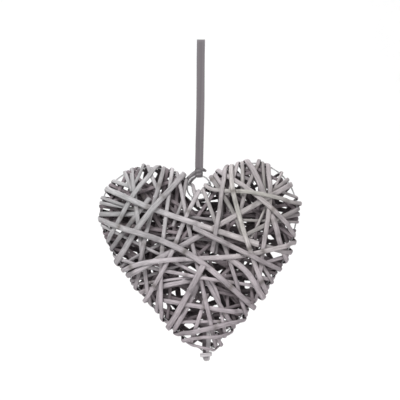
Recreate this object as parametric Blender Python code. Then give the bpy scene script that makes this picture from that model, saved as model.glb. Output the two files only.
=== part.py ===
"""Wicker heart wall decoration: a wire heart wound with grey split willow, hung by a ribbon loop.

The frame has its origin where a hook would carry the ribbon loop. +Z is up, +X is to the
viewer's right and the face of the heart looks along -Y.
"""
import math

import bmesh
import bpy
import numpy as np

# Driving dimensions, in metres
HEART_WIDTH = 0.249
HEART_HEIGHT = 0.249
HANG_DROP = 0.149
HALF_DEPTH = 0.015
EDGE_ROLL = 0.050
RIM_WIRE = 0.0016
ROD_THICKNESS = 0.0015
LAY_GAP = 0.0009
ROD_TAIL = 0.014
ROD_CROWN = 0.62
BEND_RADIUS = 0.014
RIM_BEND = 0.0014
RIM_REACH = 0.020
PRESS_REACH = 0.001
RING_RADIUS = 0.0148
RING_WIRE = 0.0018
RIBBON_WIDTH = 0.0100
RIBBON_THICKNESS = 0.0008
RIBBON_GATHER = 0.0070
RIBBON_FOLD = 0.0016
KNOT_WALL = 0.0012
TAIL_WIDTH = 0.0040
TAIL_POINT = 0.0013
TAIL_LENGTH = 0.0035
TAIL_DROP = 0.0024
STICK_WIDTH = 0.0104
STICK_THICKNESS = 0.0018
BAND_WIDTH = 0.0149
BAND_HEIGHT = 0.0044
BAND_THICKNESS = 0.0012
CLEARANCE = 0.0003

# The heart's box and the hook on the picture that its runs were chosen from, in picture pixels
BOX_LEFT = 99
BOX_RIGHT = 300
BOX_TOP = 160
BOX_BOTTOM = 361
HOOK_ACROSS = 201

# The rim wire on the picture: from the tip up the left side, through the cleft and down the right
RIM = [(206, 353), (180, 333), (148, 299), (120, 262), (106, 233), (102, 212), (105, 194), (120, 177), (137, 169),
       (157, 168), (174, 173), (188, 183), (201, 193), (210, 181), (222, 171), (243, 164), (261, 164), (278, 172),
       (291, 187), (297, 209), (293, 235), (283, 261), (261, 291), (231, 328), (206, 353)]

# How a rod ends: cut short on the face, or carried over the rim and tucked behind
CUT = "cut"
OVER = "over"

# Each rod lies across the face, goes round the rim, crosses the back and comes round to lie
# across the face again. A row gives its width at both ends in millimetres, how both ends are
# finished, and its two runs on the face in picture pixels. The first row was wound first.
WINDINGS = [
    (3.7, 3.7, OVER, CUT, [(169, 322), (236, 320)], [(297, 198), (270, 187)]),
    (4.0, 3.7, CUT, CUT, [(166, 241), (121, 264)], [(298, 222), (242, 220)]),
    (4.0, 4.0, CUT, CUT, [(198, 259), (131, 281)], [(262, 167), (266, 200)]),
    (4.0, 4.5, OVER, CUT, [(102, 225), (190, 270), (213, 284), (224, 330)], [(113, 181), (141, 190)]),
    (5.0, 5.7, CUT, CUT, [(136, 199), (125, 172)], [(139, 290), (192, 280)]),
    (5.0, 3.2, CUT, CUT, [(161, 197), (148, 168)], [(135, 284), (203, 275)]),
    (3.5, 4.2, CUT, CUT, [(251, 238), (281, 174)], [(102, 203), (150, 212)]),
    (4.0, 4.0, CUT, CUT, [(132, 192), (143, 168)], [(266, 287), (254, 280)]),
    (5.7, 5.4, CUT, CUT, [(140, 214), (100, 214)], [(299, 214), (274, 219)]),
    (6.2, 4.7, CUT, CUT, [(200, 280), (177, 328)], [(287, 180), (270, 193)]),
    (5.4, 5.7, CUT, CUT, [(204, 275), (229, 322)], [(157, 310), (161, 283)]),
    (4.5, 5.0, CUT, CUT, [(242, 196), (243, 164)], [(196, 327), (207, 293)]),
    (4.2, 4.7, CUT, CUT, [(228, 196), (237, 166)], [(269, 279), (255, 276)]),
    (5.0, 5.9, CUT, CUT, [(228, 195), (216, 176)], [(243, 313), (164, 300)]),
    (4.0, 4.5, CUT, CUT, [(127, 206), (103, 198)], [(192, 187), (199, 207)]),
    (5.4, 5.4, CUT, CUT, [(247, 234), (297, 208)], [(212, 177), (234, 214), (243, 236)]),
    (4.0, 6.2, CUT, CUT, [(173, 226), (183, 198), (184, 178)], [(110, 251), (150, 198)]),
    (4.5, 5.0, CUT, CUT, [(266, 262), (285, 256)], [(259, 164), (246, 190), (240, 212)]),
    (5.4, 5.2, OVER, OVER, [(132, 169), (149, 302)], [(212, 325), (191, 236), (180, 178)]),
    (4.5, 5.7, CUT, OVER, [(258, 258), (270, 278)], [(138, 291), (147, 232), (164, 168)]),
    (5.9, 6.9, OVER, OVER, [(156, 168), (134, 196), (107, 243)], [(286, 257), (256, 177), (247, 163)]),
    (4.2, 5.4, OVER, OVER, [(259, 287), (162, 270), (120, 260)], [(172, 173), (162, 256), (162, 313)]),
    (4.5, 5.7, OVER, CUT, [(244, 313), (234, 275), (206, 193)], [(289, 254), (262, 245)]),
    (5.7, 6.9, OVER, OVER, [(254, 303), (269, 196), (268, 166)], [(127, 276), (292, 184)]),
    (5.0, 5.9, OVER, OVER, [(198.5, 192), (186, 217), (170, 257), (148, 302)],
     [(294, 235), (283, 221), (247, 189), (220, 173)]),
    (6.7, 7.4, CUT, CUT, [(227, 256), (247, 272), (258, 292)], [(107, 189), (151, 208), (258, 244)]),
    (3.4, 4.8, CUT, CUT, [(188, 340), (196, 345), (204, 347), (213, 347)], [(219, 343), (215, 333)]),
    (5.2, 4.2, OVER, OVER, [(299, 205), (250, 193), (211, 191), (204, 187)], [(181, 338), (215, 335), (231, 330)]),
    (5.9, 5.9, OVER, OVER, [(122, 269), (138, 262), (243, 255), (291, 243)], [(231, 168), (233, 192), (262, 291)]),
    (5.9, 7.8, OVER, OVER, [(236, 320), (200, 329), (176, 332)], [(181, 176), (140, 225), (117, 261)]),
    (5.2, 5.9, CUT, CUT, [(212, 252), (225, 179)], [(277, 268), (193, 227)]),
    (6.9, 7.4, OVER, CUT, [(102, 220), (185, 251), (253, 303)], [(172, 324), (203, 265)]),
]

# Where the ring's middle lies on the picture, and how far it is turned about the upright
RING_AT = (199, 187.5)
RING_TURN = 10

# The knot's top and foot, and where the end that is led behind the ring meets the left lobe
KNOT_TOP = (199, 168.5)
KNOT_LOW = (199, 177)
STRAP_END = (190.5, 180)

# The stick down the tip: its middle on the picture, and its width as a share of the full width
STICK_STATIONS = [(206.8, 308, 0.7), (206.8, 320, 0.95), (206.6, 342, 1.0), (205.8, 348, 0.7), (206.2, 358, 0.78),
                  (206.3, 361, 0.5)]
BAND_AT = (206, 354.4)
BAND_TILT = 7

BAND_CORNERS = 16
BAND_SQUARENESS = 0.35

# How the form is worked out: its outline's step, the share of the offset below which a point of it lies in a
# fold, and the depths between which the true distance gives way to the soft mean
FORM_STEP = 0.0020
FOLD_SHARE = 0.93
TRUE_DEPTH = 0.006
SOFT_DEPTH = 0.018
PROBE = 0.0003
SETTLE_PASSES = 4

# How the rods' routes are worked out
PLAN_STEP = 0.0005
LAY_STEP = 0.0010
SOFTEN = 0.0040
RUN_LEAD = 0.030
HEADING_POINTS = 9
BACK_POINTS = 80
TAIL_POINTS = 20
END_SLIDE = 0.0035
END_FADE = 4
SLANT_LIMIT = 0.8
SPREAD_PASSES = 200
SPREAD_SHARE = 0.4
PARTING = 0.015
OWN_PASSES = 3
CHORD_ERROR = 0.00075
RIM_ERROR = 0.00030
RIM_STEP = 0.0010


def picture_point(x, y):
    """The plan place (x, z) in metres of a picture pixel."""
    across = (x - HOOK_ACROSS) * HEART_WIDTH / (BOX_RIGHT - BOX_LEFT)
    down = (y - BOX_TOP) * HEART_HEIGHT / (BOX_BOTTOM - BOX_TOP)
    return across, -HANG_DROP - down


def plan_points(pixels):
    return np.array([picture_point(x, y) for x, y in pixels])


def respaced(points, step):
    """The same line with its points about one step apart."""
    length = np.concatenate([[0], np.cumsum(np.linalg.norm(np.diff(points, axis=0), axis=1))])
    count = max(2, int(round(length[-1] / step)) + 1)
    at = np.linspace(0, length[-1], count)
    return np.stack([np.interp(at, length, points[:, axis]) for axis in range(points.shape[1])], axis=1)


def smooth_line(points, step):
    """A smooth line through the points: a Catmull-Rom curve with straight leads at both ends."""
    points = np.asarray(points, float)
    if len(points) == 2:
        return respaced(points, step)
    padded = np.vstack([2 * points[0] - points[1], points, 2 * points[-1] - points[-2]])
    knots = np.concatenate([[0], np.cumsum(np.linalg.norm(np.diff(padded, axis=0), axis=1) ** 0.5)])
    pieces = []
    for i in range(1, len(padded) - 2):
        t = np.linspace(knots[i], knots[i + 1], 40)[:, None]
        k0, k1, k2, k3 = knots[i - 1:i + 3]
        p0, p1, p2, p3 = padded[i - 1:i + 3]
        a1 = (k1 - t) / (k1 - k0) * p0 + (t - k0) / (k1 - k0) * p1
        a2 = (k2 - t) / (k2 - k1) * p1 + (t - k1) / (k2 - k1) * p2
        a3 = (k3 - t) / (k3 - k2) * p2 + (t - k2) / (k3 - k2) * p3
        b1 = (k2 - t) / (k2 - k0) * a1 + (t - k0) / (k2 - k0) * a2
        b2 = (k3 - t) / (k3 - k1) * a2 + (t - k1) / (k3 - k1) * a3
        pieces.append((k2 - t) / (k2 - k1) * b1 + (t - k1) / (k2 - k1) * b2)
    return respaced(np.vstack(pieces), step)


def rim_line(step):
    """The rim wire's middle as a closed plan line, clockwise from the tip."""
    return smooth_line(plan_points(RIM), step)[:-1]


def outward_of(line):
    """The outward direction at each point of a closed clockwise plan line."""
    along = np.roll(line, -1, axis=0) - np.roll(line, 1, axis=0)
    out = np.stack([-along[:, 1], along[:, 0]], axis=1)
    return out / np.linalg.norm(out, axis=1)[:, None]


class HeartForm:
    """The padded heart shape that the rods are wound over.

    A point that lies a distance a inside the outline has the surface at the half depth
    HALF_DEPTH * sqrt(1 - (1 - a / EDGE_ROLL)^2), in front of it and behind it.
    """

    def __init__(self):
        rim = rim_line(FORM_STEP)
        reach = RIM_WIRE / 2 + LAY_GAP
        line = rim + outward_of(rim) * reach
        gap = np.linalg.norm(line[:, None] - rim[None], axis=2).min(axis=1)
        self.line = line[gap > FOLD_SHARE * reach]
        self.along = np.roll(self.line, -1, axis=0) - self.line
        self.length = np.linalg.norm(self.along, axis=1)

    def inside(self, plan):
        """How far plan points lie inside the outline; less than nothing outside it.

        Near the outline this is the true distance, and further in it is a soft mean that
        leaves no ridge along the middle of the heart.
        """
        offset = plan[:, None] - self.line[None]
        share = np.clip((offset * self.along).sum(axis=2) / self.length ** 2, 0, 1)
        near = np.linalg.norm(offset - share[..., None] * self.along, axis=2).min(axis=1)
        low = self.line[:, 1]
        high = np.roll(low, -1)
        z = plan[:, 1][:, None]
        with np.errstate(divide="ignore", invalid="ignore"):
            cross = self.line[:, 0] + (z - low) / (high - low) * self.along[:, 0]
        hits = ((low > z) != (high > z)) & (plan[:, 0][:, None] < cross)
        within = hits.sum(axis=1) % 2 == 1
        middle = np.linalg.norm(offset - self.along / 2, axis=2)
        soft = ((self.length / np.maximum(middle, 1e-4) ** 4).sum(axis=1) * 2 / math.pi) ** (-1 / 3)
        mix = np.clip((near - TRUE_DEPTH) / (SOFT_DEPTH - TRUE_DEPTH), 0, 1)
        mix = mix * mix * (3 - 2 * mix)
        return np.where(within, near * (1 - mix) + soft * mix, -near)

    def rise(self, plan):
        """How fast the distance inside grows along x and along z."""
        return [(self.inside(plan + way) - self.inside(plan - way)) / (2 * PROBE) for way in PROBE * np.eye(2)]

    def half_depth(self, plan):
        share = np.clip(self.inside(plan) / EDGE_ROLL, 0, 1)
        return HALF_DEPTH * np.sqrt(1 - (1 - share) ** 2)

    def field(self, points):
        """The form's implicit function and its slope at points in space."""
        plan = points[:, [0, 2]]
        share = np.clip(self.inside(plan) / EDGE_ROLL, -1, 1)
        slope_x, slope_z = self.rise(plan)
        value = (points[:, 1] / HALF_DEPTH) ** 2 - (1 - (1 - share) ** 2)
        fall = -2 * (1 - share) / EDGE_ROLL
        slope = np.stack([fall * slope_x, 2 * points[:, 1] / HALF_DEPTH ** 2, fall * slope_z], axis=1)
        return value, slope

    def settle(self, points):
        """Move points in space onto the form."""
        for _ in range(SETTLE_PASSES):
            value, slope = self.field(points)
            points = points - (value / (slope ** 2).sum(axis=1))[:, None] * slope
        return points

    def normal(self, points):
        slope = self.field(points)[1]
        return slope / np.linalg.norm(slope, axis=1)[:, None]


def averaged(values, radius, step):
    """Gaussian mean along a line, with its ends kept."""
    reach = int(math.ceil(3 * radius / step))
    offsets = np.arange(-reach, reach + 1)
    weights = np.exp(-0.5 * (offsets * step / radius) ** 2)
    weights /= weights.sum()
    front = 2 * values[0] - values[reach:0:-1]
    back = 2 * values[-1] - values[-2:-reach - 2:-1]
    padded = np.concatenate([front, values, back])
    return np.stack([np.convolve(padded[:, axis], weights, "valid") for axis in range(values.shape[1])], axis=1)


def heading(line, end):
    """The unit direction in which a plan line leaves its first point (end 0) or its last (end -1)."""
    way = line[0] - line[HEADING_POINTS] if end == 0 else line[-1] - line[-1 - HEADING_POINTS]
    return way / np.linalg.norm(way)


def face_run(form, pixels, start_over, end_over):
    """A run on the face as plan points, carried on to the outline at the ends that go over it."""
    line = smooth_line(plan_points(pixels), PLAN_STEP)
    if start_over:
        line = np.vstack([line[0] + heading(line, 0) * RUN_LEAD, line])
    if end_over:
        line = np.vstack([line, line[-1] + heading(line, -1) * RUN_LEAD])
    line = respaced(line, PLAN_STEP)
    outside = np.nonzero(form.inside(line) <= 0)[0]
    middle = len(line) // 2
    if start_over:
        first = outside[outside < middle].max()
        line = line[first:]
        outside = outside - first
        middle = middle - first
    if end_over:
        line = line[:outside[outside > middle].min() + 1]
    return line


def turned_back(form, line, end):
    """The direction behind the rim of a rod that comes over it in front along a line's first or last end."""
    way = heading(line, end)
    out = np.array(form.rise(line[end][None]))[:, 0]
    out /= np.linalg.norm(out)
    return way - 2 * (way @ out) * out


def back_run(form, first, second):
    """The pass behind the heart, from the end of one face run to the start of the other."""
    start, end = first[-1], second[0]
    leave = turned_back(form, first, -1)
    arrive = -turned_back(form, second, 0)
    reach = np.linalg.norm(end - start)
    t = np.linspace(0, 1, BACK_POINTS)[:, None]
    return ((2 * t ** 3 - 3 * t ** 2 + 1) * start + (t ** 3 - 2 * t ** 2 + t) * leave * reach
            + (3 * t ** 2 - 2 * t ** 3) * end + (t ** 3 - t ** 2) * arrive * reach)


def raised(form, plan, side):
    """Plan points as points in space, in front of the heart or behind it."""
    return np.stack([plan[:, 0], side * form.half_depth(plan), plan[:, 1]], axis=1)


def face_runs(form):
    """The two runs on the face of every rod, with their ends spread along the rim."""
    runs = []
    for _, _, start, finish, first, second in WINDINGS:
        runs.append([face_run(form, first, start == OVER, True), face_run(form, second, True, finish == OVER)])
    spread_ends(form, runs)
    return runs


def spread_ends(form, runs):
    """Slide the rods' ends along the rim, as a weaver does, until they lie side by side where they can.

    An end moves END_SLIDE at most, and its run bends to follow it, less and less towards its other end.
    """
    place = np.concatenate([[0], np.cumsum(form.length)])
    ends = []
    for row, (first, second) in zip(WINDINGS, runs):
        ends.append((first, -1, row[0]))
        ends.append((second, 0, row[1]))
        if row[2] == OVER:
            ends.append((first, 0, row[0]))
        if row[3] == OVER:
            ends.append((second, -1, row[1]))
    at = []
    half = []
    for run, end, width in ends:
        nearest = int(np.linalg.norm(form.line - run[end], axis=1).argmin())
        at.append(place[nearest] + (run[end] - form.line[nearest]) @ form.along[nearest] / form.length[nearest])
        slant = abs(heading(run, end) @ form.along[nearest]) / form.length[nearest]
        half.append(width / 2000 / math.sqrt(1 - min(slant, SLANT_LIMIT) ** 2))
    for crossing in ring_crossings(form):
        at.append(place[crossing])
        half.append(RING_WIRE / 2 + CLEARANCE)
    at = np.array(at)
    half = np.array(half)
    slide = np.full(len(at), END_SLIDE)
    slide[len(ends):] = 0
    first_at = at.copy()
    for _ in range(SPREAD_PASSES):
        order = np.argsort(at)
        after = np.roll(order, -1)
        gap = (at[after] - at[order]) % place[-1] - half[order] - half[after] - CLEARANCE
        push = np.maximum(-gap, 0) * SPREAD_SHARE
        np.subtract.at(at, order, push)
        np.add.at(at, after, push)
        at = np.clip(at, first_at - slide, first_at + slide)
    for (run, end, _), old, new in zip(ends, first_at, at):
        shift = np.array([np.interp(new % place[-1], place, np.append(form.line[:, k], form.line[0, k]))
                          - np.interp(old % place[-1], place, np.append(form.line[:, k], form.line[0, k]))
                          for k in range(2)])
        share = np.linspace(1, 0, len(run)) if end == 0 else np.linspace(0, 1, len(run))
        run += shift * share[:, None] ** END_FADE


def ring_crossings(form):
    """The two points of the form's outline that lie nearest to the ring, left and right of the cleft."""
    middle = np.array(picture_point(*RING_AT))
    away = abs(np.linalg.norm(form.line - middle, axis=1) - RING_RADIUS)
    sides = [form.line[:, 0] < middle[0], form.line[:, 0] > middle[0]]
    return [int(np.where(side, away, 1).argmin()) for side in sides]


def rod_route(form, row, first, second):
    """The route of one rod on the form: points and normals about LAY_STEP apart."""
    start, finish = row[2:4]
    pieces = [raised(form, first, -1), raised(form, back_run(form, first, second), 1), raised(form, second, -1)]
    lengths = np.linspace(ROD_TAIL, PLAN_STEP, TAIL_POINTS)[:, None]
    if start == OVER:
        pieces.insert(0, raised(form, first[0] + turned_back(form, first, 0) * lengths, 1))
    if finish == OVER:
        pieces.append(raised(form, second[-1] + turned_back(form, second, -1) * lengths[::-1], 1))
    points = respaced(np.vstack(pieces), LAY_STEP)
    points = form.settle(averaged(points, SOFTEN, LAY_STEP))
    normals = averaged(form.normal(points), SOFTEN, LAY_STEP)
    return points, normals / np.linalg.norm(normals, axis=1)[:, None]


def eased(need, bend):
    """The lowest heights that a springy rod can take over the heights that it has to clear.

    The rod bends no tighter than the radii in bend, and lies flat for PRESS_REACH to both sides of a peak.
    """
    place = np.arange(len(need)) * LAY_STEP
    bow = (place[:, None] - place[None]) ** 2 / (2 * bend[:, None])
    height = np.maximum((need[None] - bow).max(axis=1), 0)
    reach = int(round(PRESS_REACH / LAY_STEP))
    for blend in (np.max, np.mean):
        around = np.lib.stride_tricks.sliding_window_view(np.pad(height, reach, mode="edge"), 2 * reach + 1)
        height = blend(around, axis=1)
    return height


def clear_of(points, normals, half, others, other_normals, other_half, other_top, under=True):
    """The height that each point needs to pass over the other points that lie under it."""
    distance = ((points ** 2).sum(axis=1)[:, None] + (others ** 2).sum(axis=1)[None] - 2 * points @ others.T)
    near = distance < (half[:, None] + other_half[None]) ** 2
    facing = normals @ other_normals.T > 0
    return np.where(near & facing & under, other_top[None], 0).max(axis=1)


def lay_rods(form):
    """Wind every rod in turn over the ones before it. Gives points, normals, heights and half widths."""
    laid = []
    pitch = ROD_THICKNESS + LAY_GAP
    for row, runs in zip(WINDINGS, face_runs(form)):
        points, normals = rod_route(form, row, *runs)
        half = np.linspace(row[0], row[1], len(points)) / 2000
        bend = np.interp(form.inside(points[:, [0, 2]]), [0, RIM_REACH], [RIM_BEND, BEND_RADIUS])
        need = np.zeros(len(points))
        if laid:
            need = clear_of(points, normals, half, *(np.concatenate(part) for part in zip(*(
                (rod[0], rod[1], rod[3], rod[2] + pitch) for rod in laid))))
        height = eased(need, bend)
        earlier = np.tri(len(points), k=-int(PARTING / LAY_STEP), dtype=bool)
        for _ in range(OWN_PASSES):
            own = clear_of(points, normals, half, points, normals, half, height + pitch, earlier)
            height = eased(np.maximum(need, own), bend)
        laid.append((points, normals, height, half))
    return laid


def key_stations(points, error):
    """The fewest points that keep a line within the error: the ends, then the furthest from each chord."""
    keep = {0, len(points) - 1}
    spans = [(0, len(points) - 1)]
    while spans:
        a, b = spans.pop()
        if b - a < 2:
            continue
        chord = points[b] - points[a]
        span = np.linalg.norm(chord)
        offset = points[a + 1:b] - points[a]
        away = np.linalg.norm(np.cross(offset, chord), axis=1) / span if span > 1e-6 else np.linalg.norm(offset, axis=1)
        worst = int(away.argmax())
        if away[worst] > error:
            middle = a + 1 + worst
            keep.add(middle)
            spans += [(a, middle), (middle, b)]
    return sorted(keep)


def swept_mesh(name, rings, closed=False):
    """A closed body through four-cornered rings, with flat ends unless the sweep is closed."""
    body = bmesh.new()
    rows = [[body.verts.new(corner) for corner in ring] for ring in rings]
    pairs = list(zip(rows, rows[1:]))
    if closed:
        pairs.append((rows[-1], rows[0]))
    for lower, upper in pairs:
        for k in range(4):
            body.faces.new((lower[k], lower[(k + 1) % 4], upper[(k + 1) % 4], upper[k]))
    if not closed:
        body.faces.new(rows[0][::-1])
        body.faces.new(rows[-1])
    bmesh.ops.recalc_face_normals(body, faces=body.faces)
    bmesh.ops.triangulate(body, faces=body.faces)
    mesh = bpy.data.meshes.new(name)
    body.to_mesh(mesh)
    body.free()
    return mesh


def rod_mesh(name, points, normals, height, half):
    """A split rod: a flat underside and a narrower crown, swept along its route."""
    line = points + normals * height[:, None]
    at = key_stations(line, CHORD_ERROR)
    line, normals, half = line[at], normals[at], half[at]
    along = np.gradient(line, axis=0)
    side = np.cross(along, normals)
    side /= np.linalg.norm(side, axis=1)[:, None]
    up = normals * ROD_THICKNESS
    wide = side * half[:, None]
    narrow = wide * ROD_CROWN
    rings = np.stack([line - wide, line + wide, line + narrow + up, line - narrow + up], axis=1)
    return swept_mesh(name, rings)


def material(name, colour, roughness, metallic=0.0):
    """A Principled material with one colour."""
    made = bpy.data.materials.new(name)
    made.use_nodes = True
    shader = made.node_tree.nodes["Principled BSDF"]
    shader.inputs["Base Color"].default_value = (*colour, 1)
    shader.inputs["Roughness"].default_value = roughness
    shader.inputs["Metallic"].default_value = metallic
    made.diffuse_color = (*colour, 1)
    return made


def add_piece(collection, name, data, finish):
    piece = bpy.data.objects.new(name, data)
    data.materials.append(finish)
    collection.objects.link(piece)
    return piece


def build_rim(collection, finish):
    """The closed wire heart."""
    plan = rim_line(RIM_STEP)
    plan = plan[key_stations(np.insert(plan, 1, 0, axis=1), RIM_ERROR)]
    curve = bpy.data.curves.new("rim_wire", "CURVE")
    curve.dimensions = "3D"
    curve.bevel_depth = RIM_WIRE / 2
    curve.bevel_resolution = 1
    spline = curve.splines.new("POLY")
    spline.points.add(len(plan) - 1)
    for point, (x, z) in zip(spline.points, plan):
        point.co = (x, 0, z, 1)
    spline.use_cyclic_u = True
    add_piece(collection, "rim_wire", curve, finish)


def build_ring(collection, finish):
    """The wire ring that is threaded round the rim at the cleft, turned a little so that it clears it."""
    x, z = picture_point(*RING_AT)
    bpy.ops.mesh.primitive_torus_add(major_segments=26, minor_segments=6, major_radius=RING_RADIUS,
                                     minor_radius=RING_WIRE / 2, location=(x, 0, z),
                                     rotation=(math.radians(90), 0, math.radians(RING_TURN)))
    ring = bpy.context.object
    ring.name = "hanging_ring"
    ring.data.name = ring.name
    ring.data.materials.append(finish)
    ring.data.shade_smooth()
    for holder in list(ring.users_collection):
        holder.objects.unlink(ring)
    collection.objects.link(ring)


def strip_mesh(name, line, across, thickness, closed=False):
    """A flat strip: a line of middles, the half width across it at each, and an even thickness."""
    line = np.asarray(line, float)
    across = np.asarray(across, float)
    if closed:
        along = np.roll(line, -1, axis=0) - np.roll(line, 1, axis=0)
    else:
        along = np.gradient(line, axis=0)
    up = np.cross(along, across)
    up *= thickness / 2 / np.linalg.norm(up, axis=1)[:, None]
    rings = np.stack([line - across - up, line + across - up, line + across + up, line - across + up], axis=1)
    return swept_mesh(name, rings, closed)


def knot_reach():
    """Half the depth of the loop where it goes round the turned ring."""
    turn = RIBBON_GATHER / 2 * math.sin(math.radians(abs(RING_TURN)))
    return RING_WIRE / 2 + turn + CLEARANCE + RIBBON_THICKNESS / 2


def build_ribbon(collection, finish):
    """The ribbon: a long flat loop from the hook down round the ring, gathered where it is knotted."""
    ring_x, ring_z = picture_point(*RING_AT)
    grip = knot_reach()
    sag = RING_RADIUS - math.sqrt(RING_RADIUS ** 2 - (RIBBON_GATHER / 2) ** 2)
    low = ring_z + RING_RADIUS - sag
    knot_top = picture_point(*KNOT_TOP)[1]
    bow = RIBBON_FOLD + RIBBON_THICKNESS / 2
    turn = np.radians(np.linspace(0, 180, 7))
    top = np.stack([-bow * np.cos(turn), bow * np.sin(turn) - RIBBON_FOLD], axis=1)
    bottom = np.stack([grip * np.cos(turn), low - grip * np.sin(turn)], axis=1)
    leg = np.array([[grip, knot_top + RIBBON_WIDTH / 2], [grip, knot_top + CLEARANCE]])
    loop = np.vstack([top, leg, bottom, leg[::-1] * [-1, 1]])
    share = np.clip(loop[:, 1] / low, 0, 1)
    line = np.stack([share * ring_x, loop[:, 0], loop[:, 1]], axis=1)
    width = np.interp(loop[:, 1], [knot_top, knot_top + RIBBON_WIDTH / 2], [RIBBON_GATHER, RIBBON_WIDTH])
    across = width[:, None] / 2 * [1, 0, 0]
    mesh = strip_mesh("ribbon_loop", line, across, RIBBON_THICKNESS, closed=True)
    add_piece(collection, "ribbon_loop", mesh, finish)


def cut_or_join(piece, tool, operation):
    """Join a tool's solid to a piece or cut it away, and remove the tool."""
    change = piece.modifiers.new(operation.lower(), "BOOLEAN")
    change.operation = operation
    change.object = tool
    graph = bpy.context.evaluated_depsgraph_get()
    mesh = bpy.data.meshes.new_from_object(piece.evaluated_get(graph))
    piece.modifiers.clear()
    piece.data = mesh
    bpy.data.objects.remove(tool)


def add_box(collection, name, low, high, finish):
    mesh = bpy.data.meshes.new(name)
    body = bmesh.new()
    bmesh.ops.create_cube(body, size=1)
    low = np.array(low)
    high = np.array(high)
    for vertex in body.verts:
        vertex.co = (low + high) / 2 + (high - low) * np.array(vertex.co)
    body.to_mesh(mesh)
    body.free()
    return add_piece(collection, name, mesh, finish)


def build_knot(collection, finish):
    """The ribbon's knot: a wrap round both legs and over the ring, a short tail, and the end that is led
    behind the ring to the left lobe."""
    ring_x, ring_z = picture_point(*RING_AT)
    grip = knot_reach()
    inner_x = RIBBON_GATHER / 2 + CLEARANCE
    inner_y = grip + RIBBON_THICKNESS / 2 + CLEARANCE
    outer_x = inner_x + KNOT_WALL
    outer_y = inner_y + KNOT_WALL
    top = picture_point(*KNOT_TOP)[1]
    low = picture_point(*KNOT_LOW)[1]
    knot = add_box(collection, "ribbon_knot", (ring_x - outer_x, -outer_y, low), (ring_x + outer_x, outer_y, top),
                   finish)
    tail = strip_mesh("tail", [(ring_x, -outer_y + KNOT_WALL / 2, top - TAIL_DROP),
                               (ring_x + outer_x, -outer_y + KNOT_WALL / 2, top - TAIL_DROP),
                               (ring_x + outer_x + TAIL_LENGTH, -outer_y + KNOT_WALL, top - TAIL_WIDTH)],
                      [(0, 0, TAIL_WIDTH / 2), (0, 0, TAIL_WIDTH / 2), (0, 0, TAIL_POINT / 2)], RIBBON_THICKNESS)
    cut_or_join(knot, add_piece(collection, "tail", tail, finish), "UNION")
    start = np.array([ring_x, outer_y - KNOT_WALL / 2, (top + low) / 2])
    end_x, end_z = picture_point(*STRAP_END)
    end = np.array([end_x, outer_y - KNOT_WALL / 2, end_z])
    way = (end - start) / np.linalg.norm(end - start)
    across = np.cross(way, [0, 1, 0]) * RIBBON_WIDTH / 2
    strap = strip_mesh("strap", [start, (start + end) / 2, end], [across] * 3, RIBBON_THICKNESS)
    cut_or_join(knot, add_piece(collection, "strap", strap, finish), "UNION")
    hollow = add_box(collection, "hollow", (ring_x - inner_x, -inner_y, low - KNOT_WALL),
                     (ring_x + inner_x, inner_y, top + KNOT_WALL), finish)
    cut_or_join(knot, hollow, "DIFFERENCE")
    slot_y = RING_WIRE / 2 + outer_x * math.sin(math.radians(abs(RING_TURN))) + CLEARANCE
    slot = add_box(collection, "slot", (ring_x - 2 * outer_x, -slot_y, low - KNOT_WALL),
                   (ring_x + 2 * outer_x, slot_y, ring_z + RING_RADIUS + RING_WIRE / 2 + CLEARANCE), finish)
    cut_or_join(knot, slot, "DIFFERENCE")


def build_stick(collection, finish):
    """The split stick that stands in the tip, in front of the rim wire, and ends in a stub below it."""
    y = -(RIM_WIRE / 2 + CLEARANCE + STICK_THICKNESS / 2)
    line = []
    across = []
    for x, z, share in STICK_STATIONS:
        place_x, place_z = picture_point(x, z)
        line.append((place_x, y, place_z))
        across.append((STICK_WIDTH / 2 * share, 0, 0))
    mesh = strip_mesh("spine_stick", line, across, STICK_THICKNESS)
    add_piece(collection, "spine_stick", mesh, finish)


def build_band(collection, finish):
    """The flat willow binding that ties the stick to the rim wire at the tip."""
    x, z = picture_point(*BAND_AT)
    front = -(RIM_WIRE / 2 + 3 * CLEARANCE + STICK_THICKNESS + BAND_THICKNESS / 2)
    back = RIM_WIRE / 2 + CLEARANCE + BAND_THICKNESS / 2
    half_x = BAND_WIDTH / 2 - BAND_THICKNESS / 2
    half_y = (back - front) / 2
    angle = np.linspace(0, 2 * math.pi, BAND_CORNERS, endpoint=False)
    wide = np.sign(np.cos(angle)) * abs(np.cos(angle)) ** BAND_SQUARENESS * half_x
    deep = np.sign(np.sin(angle)) * abs(np.sin(angle)) ** BAND_SQUARENESS * half_y
    line = np.stack([x + wide, (front + back) / 2 + deep, z + wide * math.sin(math.radians(BAND_TILT))], axis=1)
    mesh = strip_mesh("tip_binding", line, np.tile([0, 0, BAND_HEIGHT / 2], (len(line), 1)), BAND_THICKNESS,
                      closed=True)
    add_piece(collection, "tip_binding", mesh, finish)


def build():
    for old in list(bpy.data.objects):
        bpy.data.objects.remove(old)
    collection = bpy.data.collections.new("wicker_heart")
    bpy.context.scene.collection.children.link(collection)
    willow = material("grey_willow", (0.46, 0.44, 0.45), 0.75)
    wire = material("pale_wire", (0.55, 0.53, 0.53), 0.5)
    satin = material("grey_satin", (0.22, 0.20, 0.21), 0.45)
    form = HeartForm()
    build_rim(collection, wire)
    build_ring(collection, wire)
    build_ribbon(collection, satin)
    build_knot(collection, satin)
    build_stick(collection, willow)
    build_band(collection, willow)
    for number, rod in enumerate(lay_rods(form), 1):
        name = f"willow_rod_{number:02d}"
        add_piece(collection, name, rod_mesh(name, *rod), willow)


build()
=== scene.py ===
"""The looks of a wicker heart: grey-washed split willow, a pale wire rim and ring, and a satin ribbon."""
import math

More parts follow.
